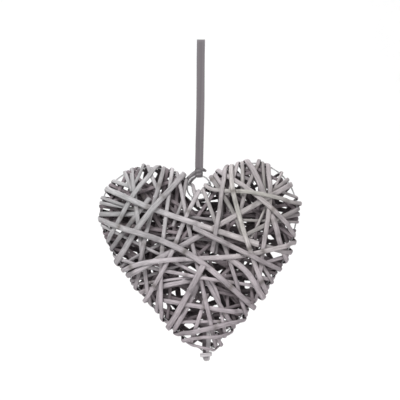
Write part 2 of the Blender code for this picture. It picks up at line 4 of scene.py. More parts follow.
import bmesh
import bpy
import numpy as np
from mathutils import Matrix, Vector


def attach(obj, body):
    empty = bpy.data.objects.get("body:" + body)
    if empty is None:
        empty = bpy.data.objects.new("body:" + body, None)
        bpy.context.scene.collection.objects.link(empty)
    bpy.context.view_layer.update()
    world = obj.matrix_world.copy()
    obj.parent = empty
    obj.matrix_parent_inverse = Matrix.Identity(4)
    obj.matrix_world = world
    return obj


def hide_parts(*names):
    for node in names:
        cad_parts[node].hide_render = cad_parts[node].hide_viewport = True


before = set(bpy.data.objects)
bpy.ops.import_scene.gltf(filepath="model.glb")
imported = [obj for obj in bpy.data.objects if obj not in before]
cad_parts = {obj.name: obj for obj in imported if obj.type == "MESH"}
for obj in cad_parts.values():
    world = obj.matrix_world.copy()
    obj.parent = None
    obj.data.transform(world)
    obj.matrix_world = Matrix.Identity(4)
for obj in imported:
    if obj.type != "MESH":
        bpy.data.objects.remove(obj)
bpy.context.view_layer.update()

# The studio
# The heart hangs clear in front of a white sweep, a wall that curves into the floor. A large soft light
# stands to the upper left of it, a weaker one fills from the right, and two light the wall alone. The
# sweep is seen through from behind, so that the heart's back can be looked at.
VIEW_ACROSS = 0.4955
CAMERA_AWAY = 3.0
CAMERA_AT = (-0.0012, -CAMERA_AWAY, -0.1985)
SENSOR = 0.036
SWEEP_WALL = 1.4
SWEEP_FLOOR = -0.95
SWEEP_TOP = 2.375
SWEEP_ROUND = 0.5
SWEEP_HALF = 6.0
SWEEP_FRONT = -6.0
LIT_POINT = (0, 0, -0.25)
AIR_LIGHT = 0.18
AIR_SEEN = 0.85
PAPER = (0.93, 0.93, 0.93)
PAPER_ROUGHNESS = 0.9

camera = bpy.data.objects.new("camera", bpy.data.cameras.new("camera"))
camera.data.sensor_width = SENSOR * 1000
camera.data.lens = SENSOR * 1000 * CAMERA_AWAY / VIEW_ACROSS
camera.location = CAMERA_AT
camera.rotation_euler = (math.radians(90), 0, 0)
bpy.context.scene.collection.objects.link(camera)
bpy.context.scene.camera = camera
bpy.context.scene.view_settings.view_transform = "Standard"


def soft_light(name, place, target, size, power):
    """An area light that faces its target."""
    lamp = bpy.data.lights.new(name, "AREA")
    lamp.shape = "RECTANGLE"
    lamp.size, lamp.size_y = size
    lamp.energy = power
    light = bpy.data.objects.new(name, lamp)
    light.location = place
    light.rotation_euler = (Vector(target) - Vector(place)).to_track_quat("-Z", "Y").to_euler()
    bpy.context.scene.collection.objects.link(light)


soft_light("key_light", (-0.6, -1.3, 1.05), LIT_POINT, size=(0.9, 0.75), power=33.8)
soft_light("fill_light", (1.5, -1.6, 0.1), LIT_POINT, size=(0.9, 1.2), power=8.2)
soft_light("wall_light_above", (0, 0.45, 1.6), (0, SWEEP_WALL, -0.1), size=(2.4, 0.3), power=15)
soft_light("wall_light_below", (0, 0.45, -0.9), (0, SWEEP_WALL, -0.3), size=(2.4, 0.3), power=7)

world = bpy.data.worlds.new("studio_air")
world.use_nodes = True
world.node_tree.nodes["Background"].inputs["Color"].default_value = (1, 1, 1, 1)
ray = world.node_tree.nodes.new("ShaderNodeLightPath")
glow = world.node_tree.nodes.new("ShaderNodeMapRange")
glow.inputs["To Min"].default_value = AIR_LIGHT
glow.inputs["To Max"].default_value = AIR_SEEN
world.node_tree.links.new(ray.outputs["Is Camera Ray"], glow.inputs["Value"])
world.node_tree.links.new(glow.outputs["Result"], world.node_tree.nodes["Background"].inputs["Strength"])
bpy.context.scene.world = world


def surface_mesh(name, grid, round_rows, closed_ends, uv=None):
    """A mesh from a grid of points (rows by columns by 3), with a quad between four neighbours.

    round_rows joins each row's last column to its first, closed_ends caps the first and last rows, and uv
    gives (rows by columns + 1 by 2) texture places where the rows are round.
    """
    rows, columns = grid.shape[:2]
    spans = columns if round_rows else columns - 1
    i, j = np.meshgrid(np.arange(rows - 1), np.arange(spans), indexing="ij")
    start, after = i * columns, (j + 1) % columns
    quads = np.stack([start + j, start + columns + j, start + columns + after, start + after], axis=-1)
    corners = quads.reshape(-1)
    totals = np.full(i.size, 4)
    if closed_ends:
        first = np.arange(columns)
        last = (rows - 1) * columns + np.arange(columns)[::-1]
        corners = np.concatenate([corners, first, last])
        totals = np.concatenate([totals, [columns, columns]])
    mesh = bpy.data.meshes.new(name)
    mesh.vertices.add(rows * columns)
    mesh.vertices.foreach_set("co", grid.reshape(-1).astype(np.float32))
    mesh.loops.add(len(corners))
    mesh.loops.foreach_set("vertex_index", corners.astype(np.int32))
    mesh.polygons.add(len(totals))
    starts = np.concatenate([[0], np.cumsum(totals)[:-1]])
    mesh.polygons.foreach_set("loop_start", starts.astype(np.int32))
    mesh.polygons.foreach_set("loop_total", totals.astype(np.int32))
    mesh.update(calc_edges=True)
    if uv is not None:
        places = np.stack([uv[i, j], uv[i + 1, j], uv[i + 1, j + 1], uv[i, j + 1]], 2).reshape(-1, 2)
        if closed_ends:
            places = np.concatenate([places, uv[0, :columns], uv[-1, :columns][::-1]])
        layer = mesh.uv_layers.new(name="lay")
        layer.data.foreach_set("uv", places.reshape(-1).astype(np.float32))
    mesh.validate()
    return mesh


def new_finish(name):
    """A material, with the parts of it that every finish here works on."""
    finish = bpy.data.materials.new(name)
    finish.use_nodes = True
    tree = finish.node_tree
    return finish, tree.nodes, tree.links, tree.nodes["Principled BSDF"]


def sweep_surface():
    """The studio sweep: a floor that turns up into a wall through a quarter circle."""
    turn = np.radians(np.linspace(-90, 0, 17))
    y = SWEEP_WALL - SWEEP_ROUND + SWEEP_ROUND * np.cos(turn)
    z = SWEEP_FLOOR + SWEEP_ROUND + SWEEP_ROUND * np.sin(turn)
    y = np.concatenate([[SWEEP_FRONT], y, [SWEEP_WALL]])
    z = np.concatenate([[SWEEP_FLOOR], z, [SWEEP_TOP]])
    x = np.array([[-SWEEP_HALF, SWEEP_HALF]])
    return np.stack(np.broadcast_arrays(x, y[:, None], z[:, None]), axis=-1)


sweep = bpy.data.objects.new("sweep", surface_mesh("sweep", sweep_surface()[::-1], False, False))
sweep.data.shade_smooth()
paper, paper_nodes, paper_links, paper_shader = new_finish("white_paper")
paper_shader.inputs["Base Color"].default_value = (*PAPER, 1)
paper_shader.inputs["Roughness"].default_value = PAPER_ROUGHNESS
side_seen = paper_nodes.new("ShaderNodeNewGeometry")
clear = paper_nodes.new("ShaderNodeBsdfTransparent")
one_sided = paper_nodes.new("ShaderNodeMixShader")
paper_links.new(side_seen.outputs["Backfacing"], one_sided.inputs["Fac"])
paper_links.new(paper_shader.outputs["BSDF"], one_sided.inputs[1])
paper_links.new(clear.outputs["BSDF"], one_sided.inputs[2])
paper_links.new(one_sided.outputs["Shader"], paper_nodes["Material Output"].inputs["Surface"])
sweep.data.materials.append(paper)
bpy.context.scene.collection.objects.link(sweep)


# The rim wire
# One galvanised wire bent to a heart. It shows as a thin pale line between the rods that are wound
# over it, and its two ends meet in the tip under the binding.
HEART_WIDTH = 0.249
HEART_HEIGHT = 0.249
HANG_DROP = 0.149
RIM_WIRE = 0.0016
RIM_STEP = 0.0015
RIM_SIDES = 10
SPAN_POINTS = 40
ZINC = (0.60, 0.59, 0.60)
ZINC_ROUGHNESS = 0.45
ZINC_SHADE = 0.55
ZINC_CLOUDS = 420

# The heart's box and the hook on the picture that its runs were chosen from, in picture pixels
BOX_LEFT = 99
BOX_RIGHT = 300
BOX_TOP = 160
BOX_BOTTOM = 361
HOOK_ACROSS = 201
PIXEL = HEART_WIDTH / (BOX_RIGHT - BOX_LEFT)

# From the tip up the left side, through the cleft and down the right
RIM = [(206, 353), (180, 333), (148, 299), (120, 262), (106, 233), (102, 212), (105, 194), (120, 177),
       (137, 169), (157, 168), (174, 173), (188, 183), (201, 193), (210, 181), (222, 171), (243, 164),
       (261, 164), (278, 172), (291, 187), (297, 209), (293, 235), (283, 261), (261, 291), (231, 328),
       (206, 353)]


def picture_point(x, y):
    """The plan place (x, z) in metres of a picture pixel."""
    across = (x - HOOK_ACROSS) * HEART_WIDTH / (BOX_RIGHT - BOX_LEFT)
    down = (y - BOX_TOP) * HEART_HEIGHT / (BOX_BOTTOM - BOX_TOP)
    return across, -HANG_DROP - down


def plan_points(pixels):
    """The plan places of a row of picture pixels."""
    return np.array([picture_point(x, y) for x, y in pixels])


def length_along(points, power=1):
    """How far along a line each point is: the sum of the steps before it, each to the power."""
    return np.concatenate([[0], np.cumsum(np.linalg.norm(np.diff(points, axis=0), axis=1) ** power)])


def values_at(at, places, values):
    """Rows of values read at other places between their own, column by column."""
    return np.stack([np.interp(at, places, column) for column in values.T], axis=1)


def unit(rows):
    """Each row as a direction of length one."""
    return rows / np.linalg.norm(rows, axis=1)[:, None]


def respaced(points, step):
    """The same line with its points about one step apart."""
    length = length_along(points)
    count = max(2, int(round(length[-1] / step)) + 1)
    return values_at(np.linspace(0, length[-1], count), length, points)


def smooth_line(points, step):
    """A smooth line through the points: a Catmull-Rom curve with straight leads at both ends.

    Its knots lie apart by the root of the distance, and each span blends four points twice over.
    """
    points = np.asarray(points, float)
    if len(points) == 2:
        return respaced(points, step)
    padded = np.vstack([2 * points[0] - points[1], points, 2 * points[-1] - points[-2]])
    knots = length_along(padded, 0.5)
    spans = []
    for i in range(1, len(padded) - 2):
        t = np.linspace(knots[i], knots[i + 1], SPAN_POINTS)[:, None]
        k0, k1, k2, k3 = knots[i - 1:i + 3]
        p0, p1, p2, p3 = padded[i - 1:i + 3]
        a1 = (k1 - t) / (k1 - k0) * p0 + (t - k0) / (k1 - k0) * p1
        a2 = (k2 - t) / (k2 - k1) * p1 + (t - k1) / (k2 - k1) * p2
        a3 = (k3 - t) / (k3 - k2) * p2 + (t - k2) / (k3 - k2) * p3
        b1 = (k2 - t) / (k2 - k0) * a1 + (t - k0) / (k2 - k0) * a2
        b2 = (k3 - t) / (k3 - k1) * a2 + (t - k1) / (k3 - k1) * a3
        spans.append((k2 - t) / (k2 - k1) * b1 + (t - k1) / (k2 - k1) * b2)
    return respaced(np.vstack(spans), step)


def rim_line(step):
    """The rim wire's middle as a closed plan line, clockwise from the tip."""
    return smooth_line(plan_points(RIM), step)[:-1]


def ring_tube(line, radius, sides):
    """A circle carried along a closed line: rows follow the line, and the first comes again at the end."""
    along = unit(np.roll(line, -1, axis=0) - np.roll(line, 1, axis=0))
    side = unit(np.cross(along, [0, 1, 0]))
    up = np.cross(side, along)
    turn = np.linspace(0, 2 * math.pi, sides, endpoint=False)[None, :, None]
    rings = line[:, None] + radius * (np.cos(turn) * side[:, None] + np.sin(turn) * up[:, None])
    return np.concatenate([rings, rings[:1]])


def seam_joined(mesh, reach=1e-6):
    """The mesh with points that lie within reach of each other made one."""
    body = bmesh.new()
    body.from_mesh(mesh)
    bmesh.ops.remove_doubles(body, verts=body.verts, dist=reach)
    body.to_mesh(mesh)
    body.free()
    return mesh


def bump_from(nodes, links, shader, height, strength, distance):
    """A bump in metres from a height, led to the shader's normal."""
    bump = nodes.new("ShaderNodeBump")
    bump.inputs["Strength"].default_value = strength
    bump.inputs["Distance"].default_value = distance
    links.new(height, bump.inputs["Height"])
    links.new(bump.outputs["Normal"], shader.inputs["Normal"])


def ranged(tree, value, to_low, to_high, low=0, high=1):
    """A value carried in a straight line from one range into another, and kept inside it."""
    node = tree.nodes.new("ShaderNodeMapRange")
    node.inputs["From Min"].default_value = low
    node.inputs["From Max"].default_value = high
    node.inputs["To Min"].default_value = to_low
    node.inputs["To Max"].default_value = to_high
    tree.links.new(value, node.inputs["Value"])
    return node.outputs["Result"]


def wire_finish(name):
    """Galvanised wire: pale zinc with faint clouds, a little duller where they are dark."""
    finish, nodes, links, shader = new_finish(name)
    shader.inputs["Metallic"].default_value = 0.2
    place = nodes.new("ShaderNodeTexCoord")
    clouds = nodes.new("ShaderNodeTexNoise")
    clouds.inputs["Scale"].default_value = ZINC_CLOUDS
    clouds.inputs["Detail"].default_value = 4
    tone = nodes.new("ShaderNodeValToRGB")
    tone.color_ramp.elements[0].position = 0.3
    tone.color_ramp.elements[0].color = (*(ZINC_SHADE * c for c in ZINC), 1)
    tone.color_ramp.elements[1].position = 0.65
    tone.color_ramp.elements[1].color = (*ZINC, 1)
    rough = ranged(finish.node_tree, clouds.outputs["Fac"], ZINC_ROUGHNESS + 0.15, ZINC_ROUGHNESS - 0.05)
    links.new(place.outputs["Object"], clouds.inputs["Vector"])
    links.new(clouds.outputs["Fac"], tone.inputs["Fac"])
    links.new(tone.outputs["Color"], shader.inputs["Base Color"])
    links.new(rough, shader.inputs["Roughness"])
    bump_from(nodes, links, shader, clouds.outputs["Fac"], 0.3, 0.0002)
    return finish


def place_piece(name, mesh, finish, sharp=40, node=None):
    """An object for a mesh, shaded smooth up to the angle, on the object's one body.

    It takes the finish that it is given, and stands for the CAD node where one is named.
    """
    piece = bpy.data.objects.new(name, mesh)
    mesh.materials.append(finish)
    mesh.shade_smooth()
    mesh.set_sharp_from_angle(angle=math.radians(sharp))
    bpy.context.scene.collection.objects.link(piece)
    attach(piece, "root")
    if node:
        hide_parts(node)
    return piece


def wire_piece(name, line, radius, sides, node):
    """A closed wire along a line in space."""
    mesh = seam_joined(surface_mesh(name, ring_tube(line, radius, sides), True, False))
    place_piece(name, mesh, zinc, node=node)


zinc = wire_finish("galvanised_wire")
wire_piece("rim_wire_fine", np.insert(rim_line(RIM_STEP), 1, 0, axis=1), RIM_WIRE / 2, RIM_SIDES, "rim_wire")


# The hanging ring
# A ring of slightly thicker wire, threaded round the rim at the cleft. It is turned a little about the
# upright, so that it passes in front of the rim on the left and behind it on the right.
RING_RADIUS = 0.0148
RING_WIRE = 0.0018
RING_AT = (199, 187.5)
RING_TURN = 10
RING_POINTS = 96
RING_SIDES = 12


def ring_middle():
    """The ring's middle line: a circle turned about the upright."""
    x, z = picture_point(*RING_AT)
    angle = np.linspace(0, 2 * math.pi, RING_POINTS, endpoint=False)
    out = RING_RADIUS * np.cos(angle)
    turn = math.radians(RING_TURN)
    return np.stack([x + out * math.cos(turn), out * math.sin(turn), z + RING_RADIUS * np.sin(angle)], axis=1)


wire_piece("hanging_ring_fine", ring_middle(), RING_WIRE / 2, RING_SIDES, "hanging_ring")


# The willow rods
# Split willow, soaked and wound wet: each rod lies across the face, goes round the rim wire, crosses the
# back and comes round again. They are laid one after another, each over the ones before it.
HALF_DEPTH = 0.015
EDGE_ROLL = 0.050
ROD_THICKNESS = 0.0015
LAY_GAP = 0.0009
ROD_TAIL = 0.014
BEND_RADIUS = 0.014
RIM_BEND = 0.0014
RIM_REACH = 0.020
PRESS_REACH = 0.001
CLEARANCE = 0.0003
FORM_STEP = 0.0020
FOLD_SHARE = 0.93
TRUE_DEPTH = 0.006
SOFT_DEPTH = 0.018
LEAST_AWAY = 1e-4
PROBE = 0.0003
SETTLE_PASSES = 4
PLAN_STEP = 0.0005
LAY_STEP = 0.0010
SOFTEN = 0.0040
RUN_LEAD = 0.030
HEADING_POINTS = 9
BACK_POINTS = 80
TAIL_POINTS = 20
END_SLIDE = 0.0035
END_FADE = 4
SLANT_LIMIT = 0.8
SPREAD_PASSES = 200
SPREAD_SHARE = 0.4
PARTING = 0.015
OWN_PASSES = 3
FRONT = -1
BEHIND = 1
CUT = "cut"
OVER = "over"

# Each row gives a rod's width at both ends in millimetres, how both ends are finished, and its two runs
# on the face in picture pixels. The first row was wound first.
WINDINGS = [
    (3.7, 3.7, OVER, CUT, [(169, 322), (236, 320)], [(297, 198), (270, 187)]),
    (4.0, 3.7, CUT, CUT, [(166, 241), (121, 264)], [(298, 222), (242, 220)]),
    (4.0, 4.0, CUT, CUT, [(198, 259), (131, 281)], [(262, 167), (266, 200)]),
    (4.0, 4.5, OVER, CUT, [(102, 225), (190, 270), (213, 284), (224, 330)], [(113, 181), (141, 190)]),
    (5.0, 5.7, CUT, CUT, [(136, 199), (125, 172)], [(139, 290), (192, 280)]),
    (5.0, 3.2, CUT, CUT, [(161, 197), (148, 168)], [(135, 284), (203, 275)]),
    (3.5, 4.2, CUT, CUT, [(251, 238), (281, 174)], [(102, 203), (150, 212)]),
    (4.0, 4.0, CUT, CUT, [(132, 192), (143, 168)], [(266, 287), (254, 280)]),
    (5.7, 5.4, CUT, CUT, [(140, 214), (100, 214)], [(299, 214), (274, 219)]),
    (6.2, 4.7, CUT, CUT, [(200, 280), (177, 328)], [(287, 180), (270, 193)]),
    (5.4, 5.7, CUT, CUT, [(204, 275), (229, 322)], [(157, 310), (161, 283)]),
    (4.5, 5.0, CUT, CUT, [(242, 196), (243, 164)], [(196, 327), (207, 293)]),
    (4.2, 4.7, CUT, CUT, [(228, 196), (237, 166)], [(269, 279), (255, 276)]),
    (5.0, 5.9, CUT, CUT, [(228, 195), (216, 176)], [(243, 313), (164, 300)]),
    (4.0, 4.5, CUT, CUT, [(127, 206), (103, 198)], [(192, 187), (199, 207)]),
    (5.4, 5.4, CUT, CUT, [(247, 234), (297, 208)], [(212, 177), (234, 214), (243, 236)]),
    (4.0, 6.2, CUT, CUT, [(173, 226), (183, 198), (184, 178)], [(110, 251), (150, 198)]),
    (4.5, 5.0, CUT, CUT, [(266, 262), (285, 256)], [(259, 164), (246, 190), (240, 212)]),
    (5.4, 5.2, OVER, OVER, [(132, 169), (149, 302)], [(212, 325), (191, 236), (180, 178)]),
    (4.5, 5.7, CUT, OVER, [(258, 258), (270, 278)], [(138, 291), (147, 232), (164, 168)]),
    (5.9, 6.9, OVER, OVER, [(156, 168), (134, 196), (107, 243)], [(286, 257), (256, 177), (247, 163)]),
    (4.2, 5.4, OVER, OVER, [(259, 287), (162, 270), (120, 260)], [(172, 173), (162, 256), (162, 313)]),
    (4.5, 5.7, OVER, CUT, [(244, 313), (234, 275), (206, 193)], [(289, 254), (262, 245)]),
    (5.7, 6.9, OVER, OVER, [(254, 303), (269, 196), (268, 166)], [(127, 276), (292, 184)]),
    (5.0, 5.9, OVER, OVER, [(198.5, 192), (186, 217), (170, 257), (148, 302)],
     [(294, 235), (283, 221), (247, 189), (220, 173)]),
    (6.7, 7.4, CUT, CUT, [(227, 256), (247, 272), (258, 292)], [(107, 189), (151, 208), (258, 244)]),
    (3.4, 4.8, CUT, CUT, [(188, 340), (196, 345), (204, 347), (213, 347)], [(219, 343), (215, 333)]),
    (5.2, 4.2, OVER, OVER, [(299, 205), (250, 193), (211, 191), (204, 187)],
     [(181, 338), (215, 335), (231, 330)]),
    (5.9, 5.9, OVER, OVER, [(122, 269), (138, 262), (243, 255), (291, 243)],
     [(231, 168), (233, 192), (262, 291)]),
    (5.9, 7.8, OVER, OVER, [(236, 320), (200, 329), (176, 332)], [(181, 176), (140, 225), (117, 261)]),
    (5.2, 5.9, CUT, CUT, [(212, 252), (225, 179)], [(277, 268), (193, 227)]),
    (6.9, 7.4, OVER, CUT, [(102, 220), (185, 251), (253, 303)], [(172, 324), (203, 265)]),
]


def outward_of(line):
    """The outward direction at each point of a closed clockwise plan line."""
    along = np.roll(line, -1, axis=0) - np.roll(line, 1, axis=0)
    return unit(np.stack([-along[:, 1], along[:, 0]], axis=1))


def smooth_share(value, low=0, high=1):
    """0 below low and 1 above high, with 3 t^2 - 2 t^3 between them."""
    t = np.clip((value - low) / (high - low), 0, 1)
    return t * t * (3 - 2 * t)


class HeartForm:
    """The padded heart shape that the rods are wound over.

    A point that lies a distance a inside the outline has the surface at the half depth
    HALF_DEPTH * sqrt(1 - (1 - a / EDGE_ROLL)^2), in front of it and behind it.
    """

    def __init__(self):
        rim = rim_line(FORM_STEP)
        reach = RIM_WIRE / 2 + LAY_GAP
        line = rim + outward_of(rim) * reach
        gap = np.linalg.norm(line[:, None] - rim[None], axis=2).min(axis=1)
        self.line = line[gap > FOLD_SHARE * reach]
        self.along = np.roll(self.line, -1, axis=0) - self.line
        self.length = np.linalg.norm(self.along, axis=1)

    def inside(self, plan):
        """How far plan points lie inside the outline; less than nothing outside it.

        Near the outline this is the true distance. Further in it is the soft mean
        (2 / pi * sum of length / distance^4)^(-1/3), which leaves no ridge along the middle.
        """
        offset = plan[:, None] - self.line[None]
        share = np.clip((offset * self.along).sum(axis=2) / self.length ** 2, 0, 1)
        near = np.linalg.norm(offset - share[..., None] * self.along, axis=2).min(axis=1)
        low = self.line[:, 1]
        high = np.roll(low, -1)
        z = plan[:, 1][:, None]
        with np.errstate(divide="ignore", invalid="ignore"):
            cross = self.line[:, 0] + (z - low) / (high - low) * self.along[:, 0]
        hits = ((low > z) != (high > z)) & (plan[:, 0][:, None] < cross)
        within = hits.sum(axis=1) % 2 == 1
        middle = np.linalg.norm(offset - self.along / 2, axis=2)
        soft = ((self.length / np.maximum(middle, LEAST_AWAY) ** 4).sum(axis=1) * 2 / math.pi) ** (-1 / 3)
        mix = smooth_share(near, TRUE_DEPTH, SOFT_DEPTH)
        return np.where(within, near * (1 - mix) + soft * mix, -near)

    def rise(self, plan):
        """How fast the distance inside grows along x and along z."""
        ways = PROBE * np.eye(2)
        return [(self.inside(plan + way) - self.inside(plan - way)) / (2 * PROBE) for way in ways]

    def half_depth(self, plan):
        """The surface's half depth at plan points, by the formula of the form."""
        share = np.clip(self.inside(plan) / EDGE_ROLL, 0, 1)
        return HALF_DEPTH * np.sqrt(1 - (1 - share) ** 2)

    def field(self, points):
        """The form's implicit function and its slope at points in space.

        The function is (y / HALF_DEPTH)^2 - (1 - (1 - a / EDGE_ROLL)^2), which is 0 on the surface.
        """
        plan = points[:, [0, 2]]
        share = np.clip(self.inside(plan) / EDGE_ROLL, -1, 1)
        slope_x, slope_z = self.rise(plan)
        value = (points[:, 1] / HALF_DEPTH) ** 2 - (1 - (1 - share) ** 2)
        fall = -2 * (1 - share) / EDGE_ROLL
        slope = np.stack([fall * slope_x, 2 * points[:, 1] / HALF_DEPTH ** 2, fall * slope_z], axis=1)
        return value, slope

    def settle(self, points):
        """Points in space moved onto the form, each along the slope by the value over its square."""
        for _ in range(SETTLE_PASSES):
            value, slope = self.field(points)
            points = points - (value / (slope ** 2).sum(axis=1))[:, None] * slope
        return points

    def normal(self, points):
        """The outward direction of the form at points in space."""
        return unit(self.field(points)[1])


def averaged(values, radius, step):
    """Rows of values on a line, each a mean of its neighbours with Gaussian weights, the ends kept."""
    reach = int(math.ceil(3 * radius / step))
    offsets = np.arange(-reach, reach + 1)
    weights = np.exp(-0.5 * (offsets * step / radius) ** 2)
    weights /= weights.sum()
    front = 2 * values[0] - values[reach:0:-1]
    back = 2 * values[-1] - values[-2:-reach - 2:-1]
    padded = np.concatenate([front, values, back])
    return np.stack([np.convolve(column, weights, "valid") for column in padded.T], axis=1)


def heading(line, end):
    """The unit direction in which a plan line leaves its first point (end 0) or its last (end -1)."""
    way = line[0] - line[HEADING_POINTS] if end == 0 else line[-1] - line[-1 - HEADING_POINTS]
    return way / np.linalg.norm(way)


def face_run(form, pixels, start_over, end_over):
    """A run on the face as plan points, carried on to the outline at the ends that go over it."""
    line = smooth_line(plan_points(pixels), PLAN_STEP)
    if start_over:
        line = np.vstack([line[0] + heading(line, 0) * RUN_LEAD, line])
    if end_over:
        line = np.vstack([line, line[-1] + heading(line, -1) * RUN_LEAD])
    line = respaced(line, PLAN_STEP)
    outside = np.nonzero(form.inside(line) <= 0)[0]
    middle = len(line) // 2
    if start_over:
        first = outside[outside < middle].max()
        line = line[first:]
        outside = outside - first
        middle = middle - first
    if end_over:
        line = line[:outside[outside > middle].min() + 1]
    return line


def turned_back(form, line, end):
    """The direction behind the rim of a rod that comes over it in front along a line's first or last end."""
    way = heading(line, end)
    out = np.array(form.rise(line[end][None]))[:, 0]
    out /= np.linalg.norm(out)
    return way - 2 * (way @ out) * out


def back_run(form, first, second):
    """The pass behind the heart, from the end of one face run to the start of the other: a cubic Hermite."""
    start, end = first[-1], second[0]
    leave = turned_back(form, first, -1)
    arrive = -turned_back(form, second, 0)
    reach = np.linalg.norm(end - start)
    t = np.linspace(0, 1, BACK_POINTS)[:, None]
    return ((2 * t ** 3 - 3 * t ** 2 + 1) * start + (t ** 3 - 2 * t ** 2 + t) * leave * reach
            + (3 * t ** 2 - 2 * t ** 3) * end + (t ** 3 - t ** 2) * arrive * reach)


def raised(form, plan, side):
    """Plan points as points in space, in front of the heart or behind it."""
    return np.stack([plan[:, 0], side * form.half_depth(plan), plan[:, 1]], axis=1)


def face_runs(form):
    """The two runs on the face of every rod, with their ends spread along the rim."""
    runs = []
    for _, _, start, finish, first, second in WINDINGS:
        runs.append([face_run(form, first, start == OVER, True),
                     face_run(form, second, True, finish == OVER)])
    spread_ends(form, runs)
    return runs


def spread_ends(form, runs):
    """Slide the rods' ends along the rim, as a weaver does, until they lie side by side where they can.

    An end moves END_SLIDE at most, and its run bends to follow it, less and less towards its other end.
    """
    place = np.concatenate([[0], np.cumsum(form.length)])
    outline = np.vstack([form.line, form.line[:1]])
    ends = []
    for row, (first, second) in zip(WINDINGS, runs):
        ends.append((first, -1, row[0]))
        ends.append((second, 0, row[1]))
        if row[2] == OVER:
            ends.append((first, 0, row[0]))
        if row[3] == OVER:
            ends.append((second, -1, row[1]))
    at = []
    half = []
    for run, end, width in ends:
        nearest = int(np.linalg.norm(form.line - run[end], axis=1).argmin())
        along, length = form.along[nearest], form.length[nearest]
        at.append(place[nearest] + (run[end] - form.line[nearest]) @ along / length)
        slant = abs(heading(run, end) @ along) / length
        half.append(width / 2000 / math.sqrt(1 - min(slant, SLANT_LIMIT) ** 2))
    for crossing in ring_crossings(form):
        at.append(place[crossing])
        half.append(RING_WIRE / 2 + CLEARANCE)
    at = np.array(at)
    half = np.array(half)
    slide = np.full(len(at), END_SLIDE)
    slide[len(ends):] = 0
    first_at = at.copy()
    for _ in range(SPREAD_PASSES):
        order = np.argsort(at)
        after = np.roll(order, -1)
        gap = (at[after] - at[order]) % place[-1] - half[order] - half[after] - CLEARANCE
        push = np.maximum(-gap, 0) * SPREAD_SHARE
        np.subtract.at(at, order, push)
        np.add.at(at, after, push)
        at = np.clip(at, first_at - slide, first_at + slide)
    shifts = values_at(at % place[-1], place, outline) - values_at(first_at % place[-1], place, outline)
    for (run, end, _), shift in zip(ends, shifts):
        share = np.linspace(1, 0, len(run)) if end == 0 else np.linspace(0, 1, len(run))
        run += shift * share[:, None] ** END_FADE


def ring_crossings(form):
    """The two points of the form's outline that lie nearest to the ring, left and right of the cleft."""
    middle = np.array(picture_point(*RING_AT))
    away = abs(np.linalg.norm(form.line - middle, axis=1) - RING_RADIUS)
    sides = [form.line[:, 0] < middle[0], form.line[:, 0] > middle[0]]
    return [int(np.where(side, away, 1).argmin()) for side in sides]


def turned_under(form, line, end, side):
    """The short end of a rod that has come over the rim at a line's end, on the other side of the heart."""
    lengths = np.linspace(ROD_TAIL, PLAN_STEP, TAIL_POINTS)[::-1 if end else 1, None]
    return raised(form, line[end] + turned_back(form, line, end) * lengths, side)


def on_form(form, pieces):
    """A rod's pieces as one softened route on the form: points and normals about LAY_STEP apart."""
    points = respaced(np.vstack(pieces), LAY_STEP)
    points = form.settle(averaged(points, SOFTEN, LAY_STEP))
    return points, unit(averaged(form.normal(points), SOFTEN, LAY_STEP))


def rod_route(form, row, first, second):
    """The route of one rod: its first run, the pass behind the heart and its second run."""
    start, finish = row[2:4]
    pieces = [raised(form, first, FRONT), raised(form, back_run(form, first, second), BEHIND),
              raised(form, second, FRONT)]
    if start == OVER:
        pieces.insert(0, turned_under(form, first, 0, BEHIND))
    if finish == OVER:
        pieces.append(turned_under(form, second, -1, BEHIND))
    return on_form(form, pieces)


def eased(need, bend):
    """The lowest heights that a springy rod can take over the heights that it has to clear.

    From each height to clear the rod falls by distance^2 / (2 * bend) to both sides, so it bends no tighter
    than the radii in bend, and it lies flat for PRESS_REACH to both sides of a peak.
    """
    place = np.arange(len(need)) * LAY_STEP
    bow = (place[:, None] - place[None]) ** 2 / (2 * bend[:, None])
    height = np.maximum((need[None] - bow).max(axis=1), 0)
    reach = int(round(PRESS_REACH / LAY_STEP))
    for blend in (np.max, np.mean):
        around = np.lib.stride_tricks.sliding_window_view(np.pad(height, reach, mode="edge"), 2 * reach + 1)
        height = blend(around, axis=1)
    return height


def clear_of(points, normals, half, others, other_normals, other_half, other_top, under=True):
    """The height that each point needs to pass over the other points that lie under it."""
    square = (points ** 2).sum(axis=1)[:, None] + (others ** 2).sum(axis=1)[None] - 2 * points @ others.T
    near = square < (half[:, None] + other_half[None]) ** 2
    facing = normals @ other_normals.T > 0
    return np.where(near & facing & under, other_top[None], 0).max(axis=1)


def wound(widths, routes, pitch):
    """Each rod's points, normals, heights and half widths, wound in turn over the rods before it.

    A rod's own turns are cleared too, where they lie more than PARTING apart along it.
    """
    rods = []
    for (start, finish), (points, normals) in zip(widths, routes):
        half = np.linspace(start, finish, len(points)) / 2
        bend = np.interp(form.inside(points[:, [0, 2]]), [0, RIM_REACH], [RIM_BEND, BEND_RADIUS])
        need = np.zeros(len(points))
        if rods:
            need = clear_of(points, normals, half, *(np.concatenate(part) for part in zip(*(
                (rod[0], rod[1], rod[3], rod[2] + pitch) for rod in rods))))
        height = eased(need, bend)
        earlier = np.tri(len(points), k=-int(PARTING / LAY_STEP), dtype=bool)
        for _ in range(OWN_PASSES):
            own = clear_of(points, normals, half, points, normals, half, height + pitch, earlier)
            height = eased(np.maximum(need, own), bend)
        rods.append((points, normals, height, half))
    return rods


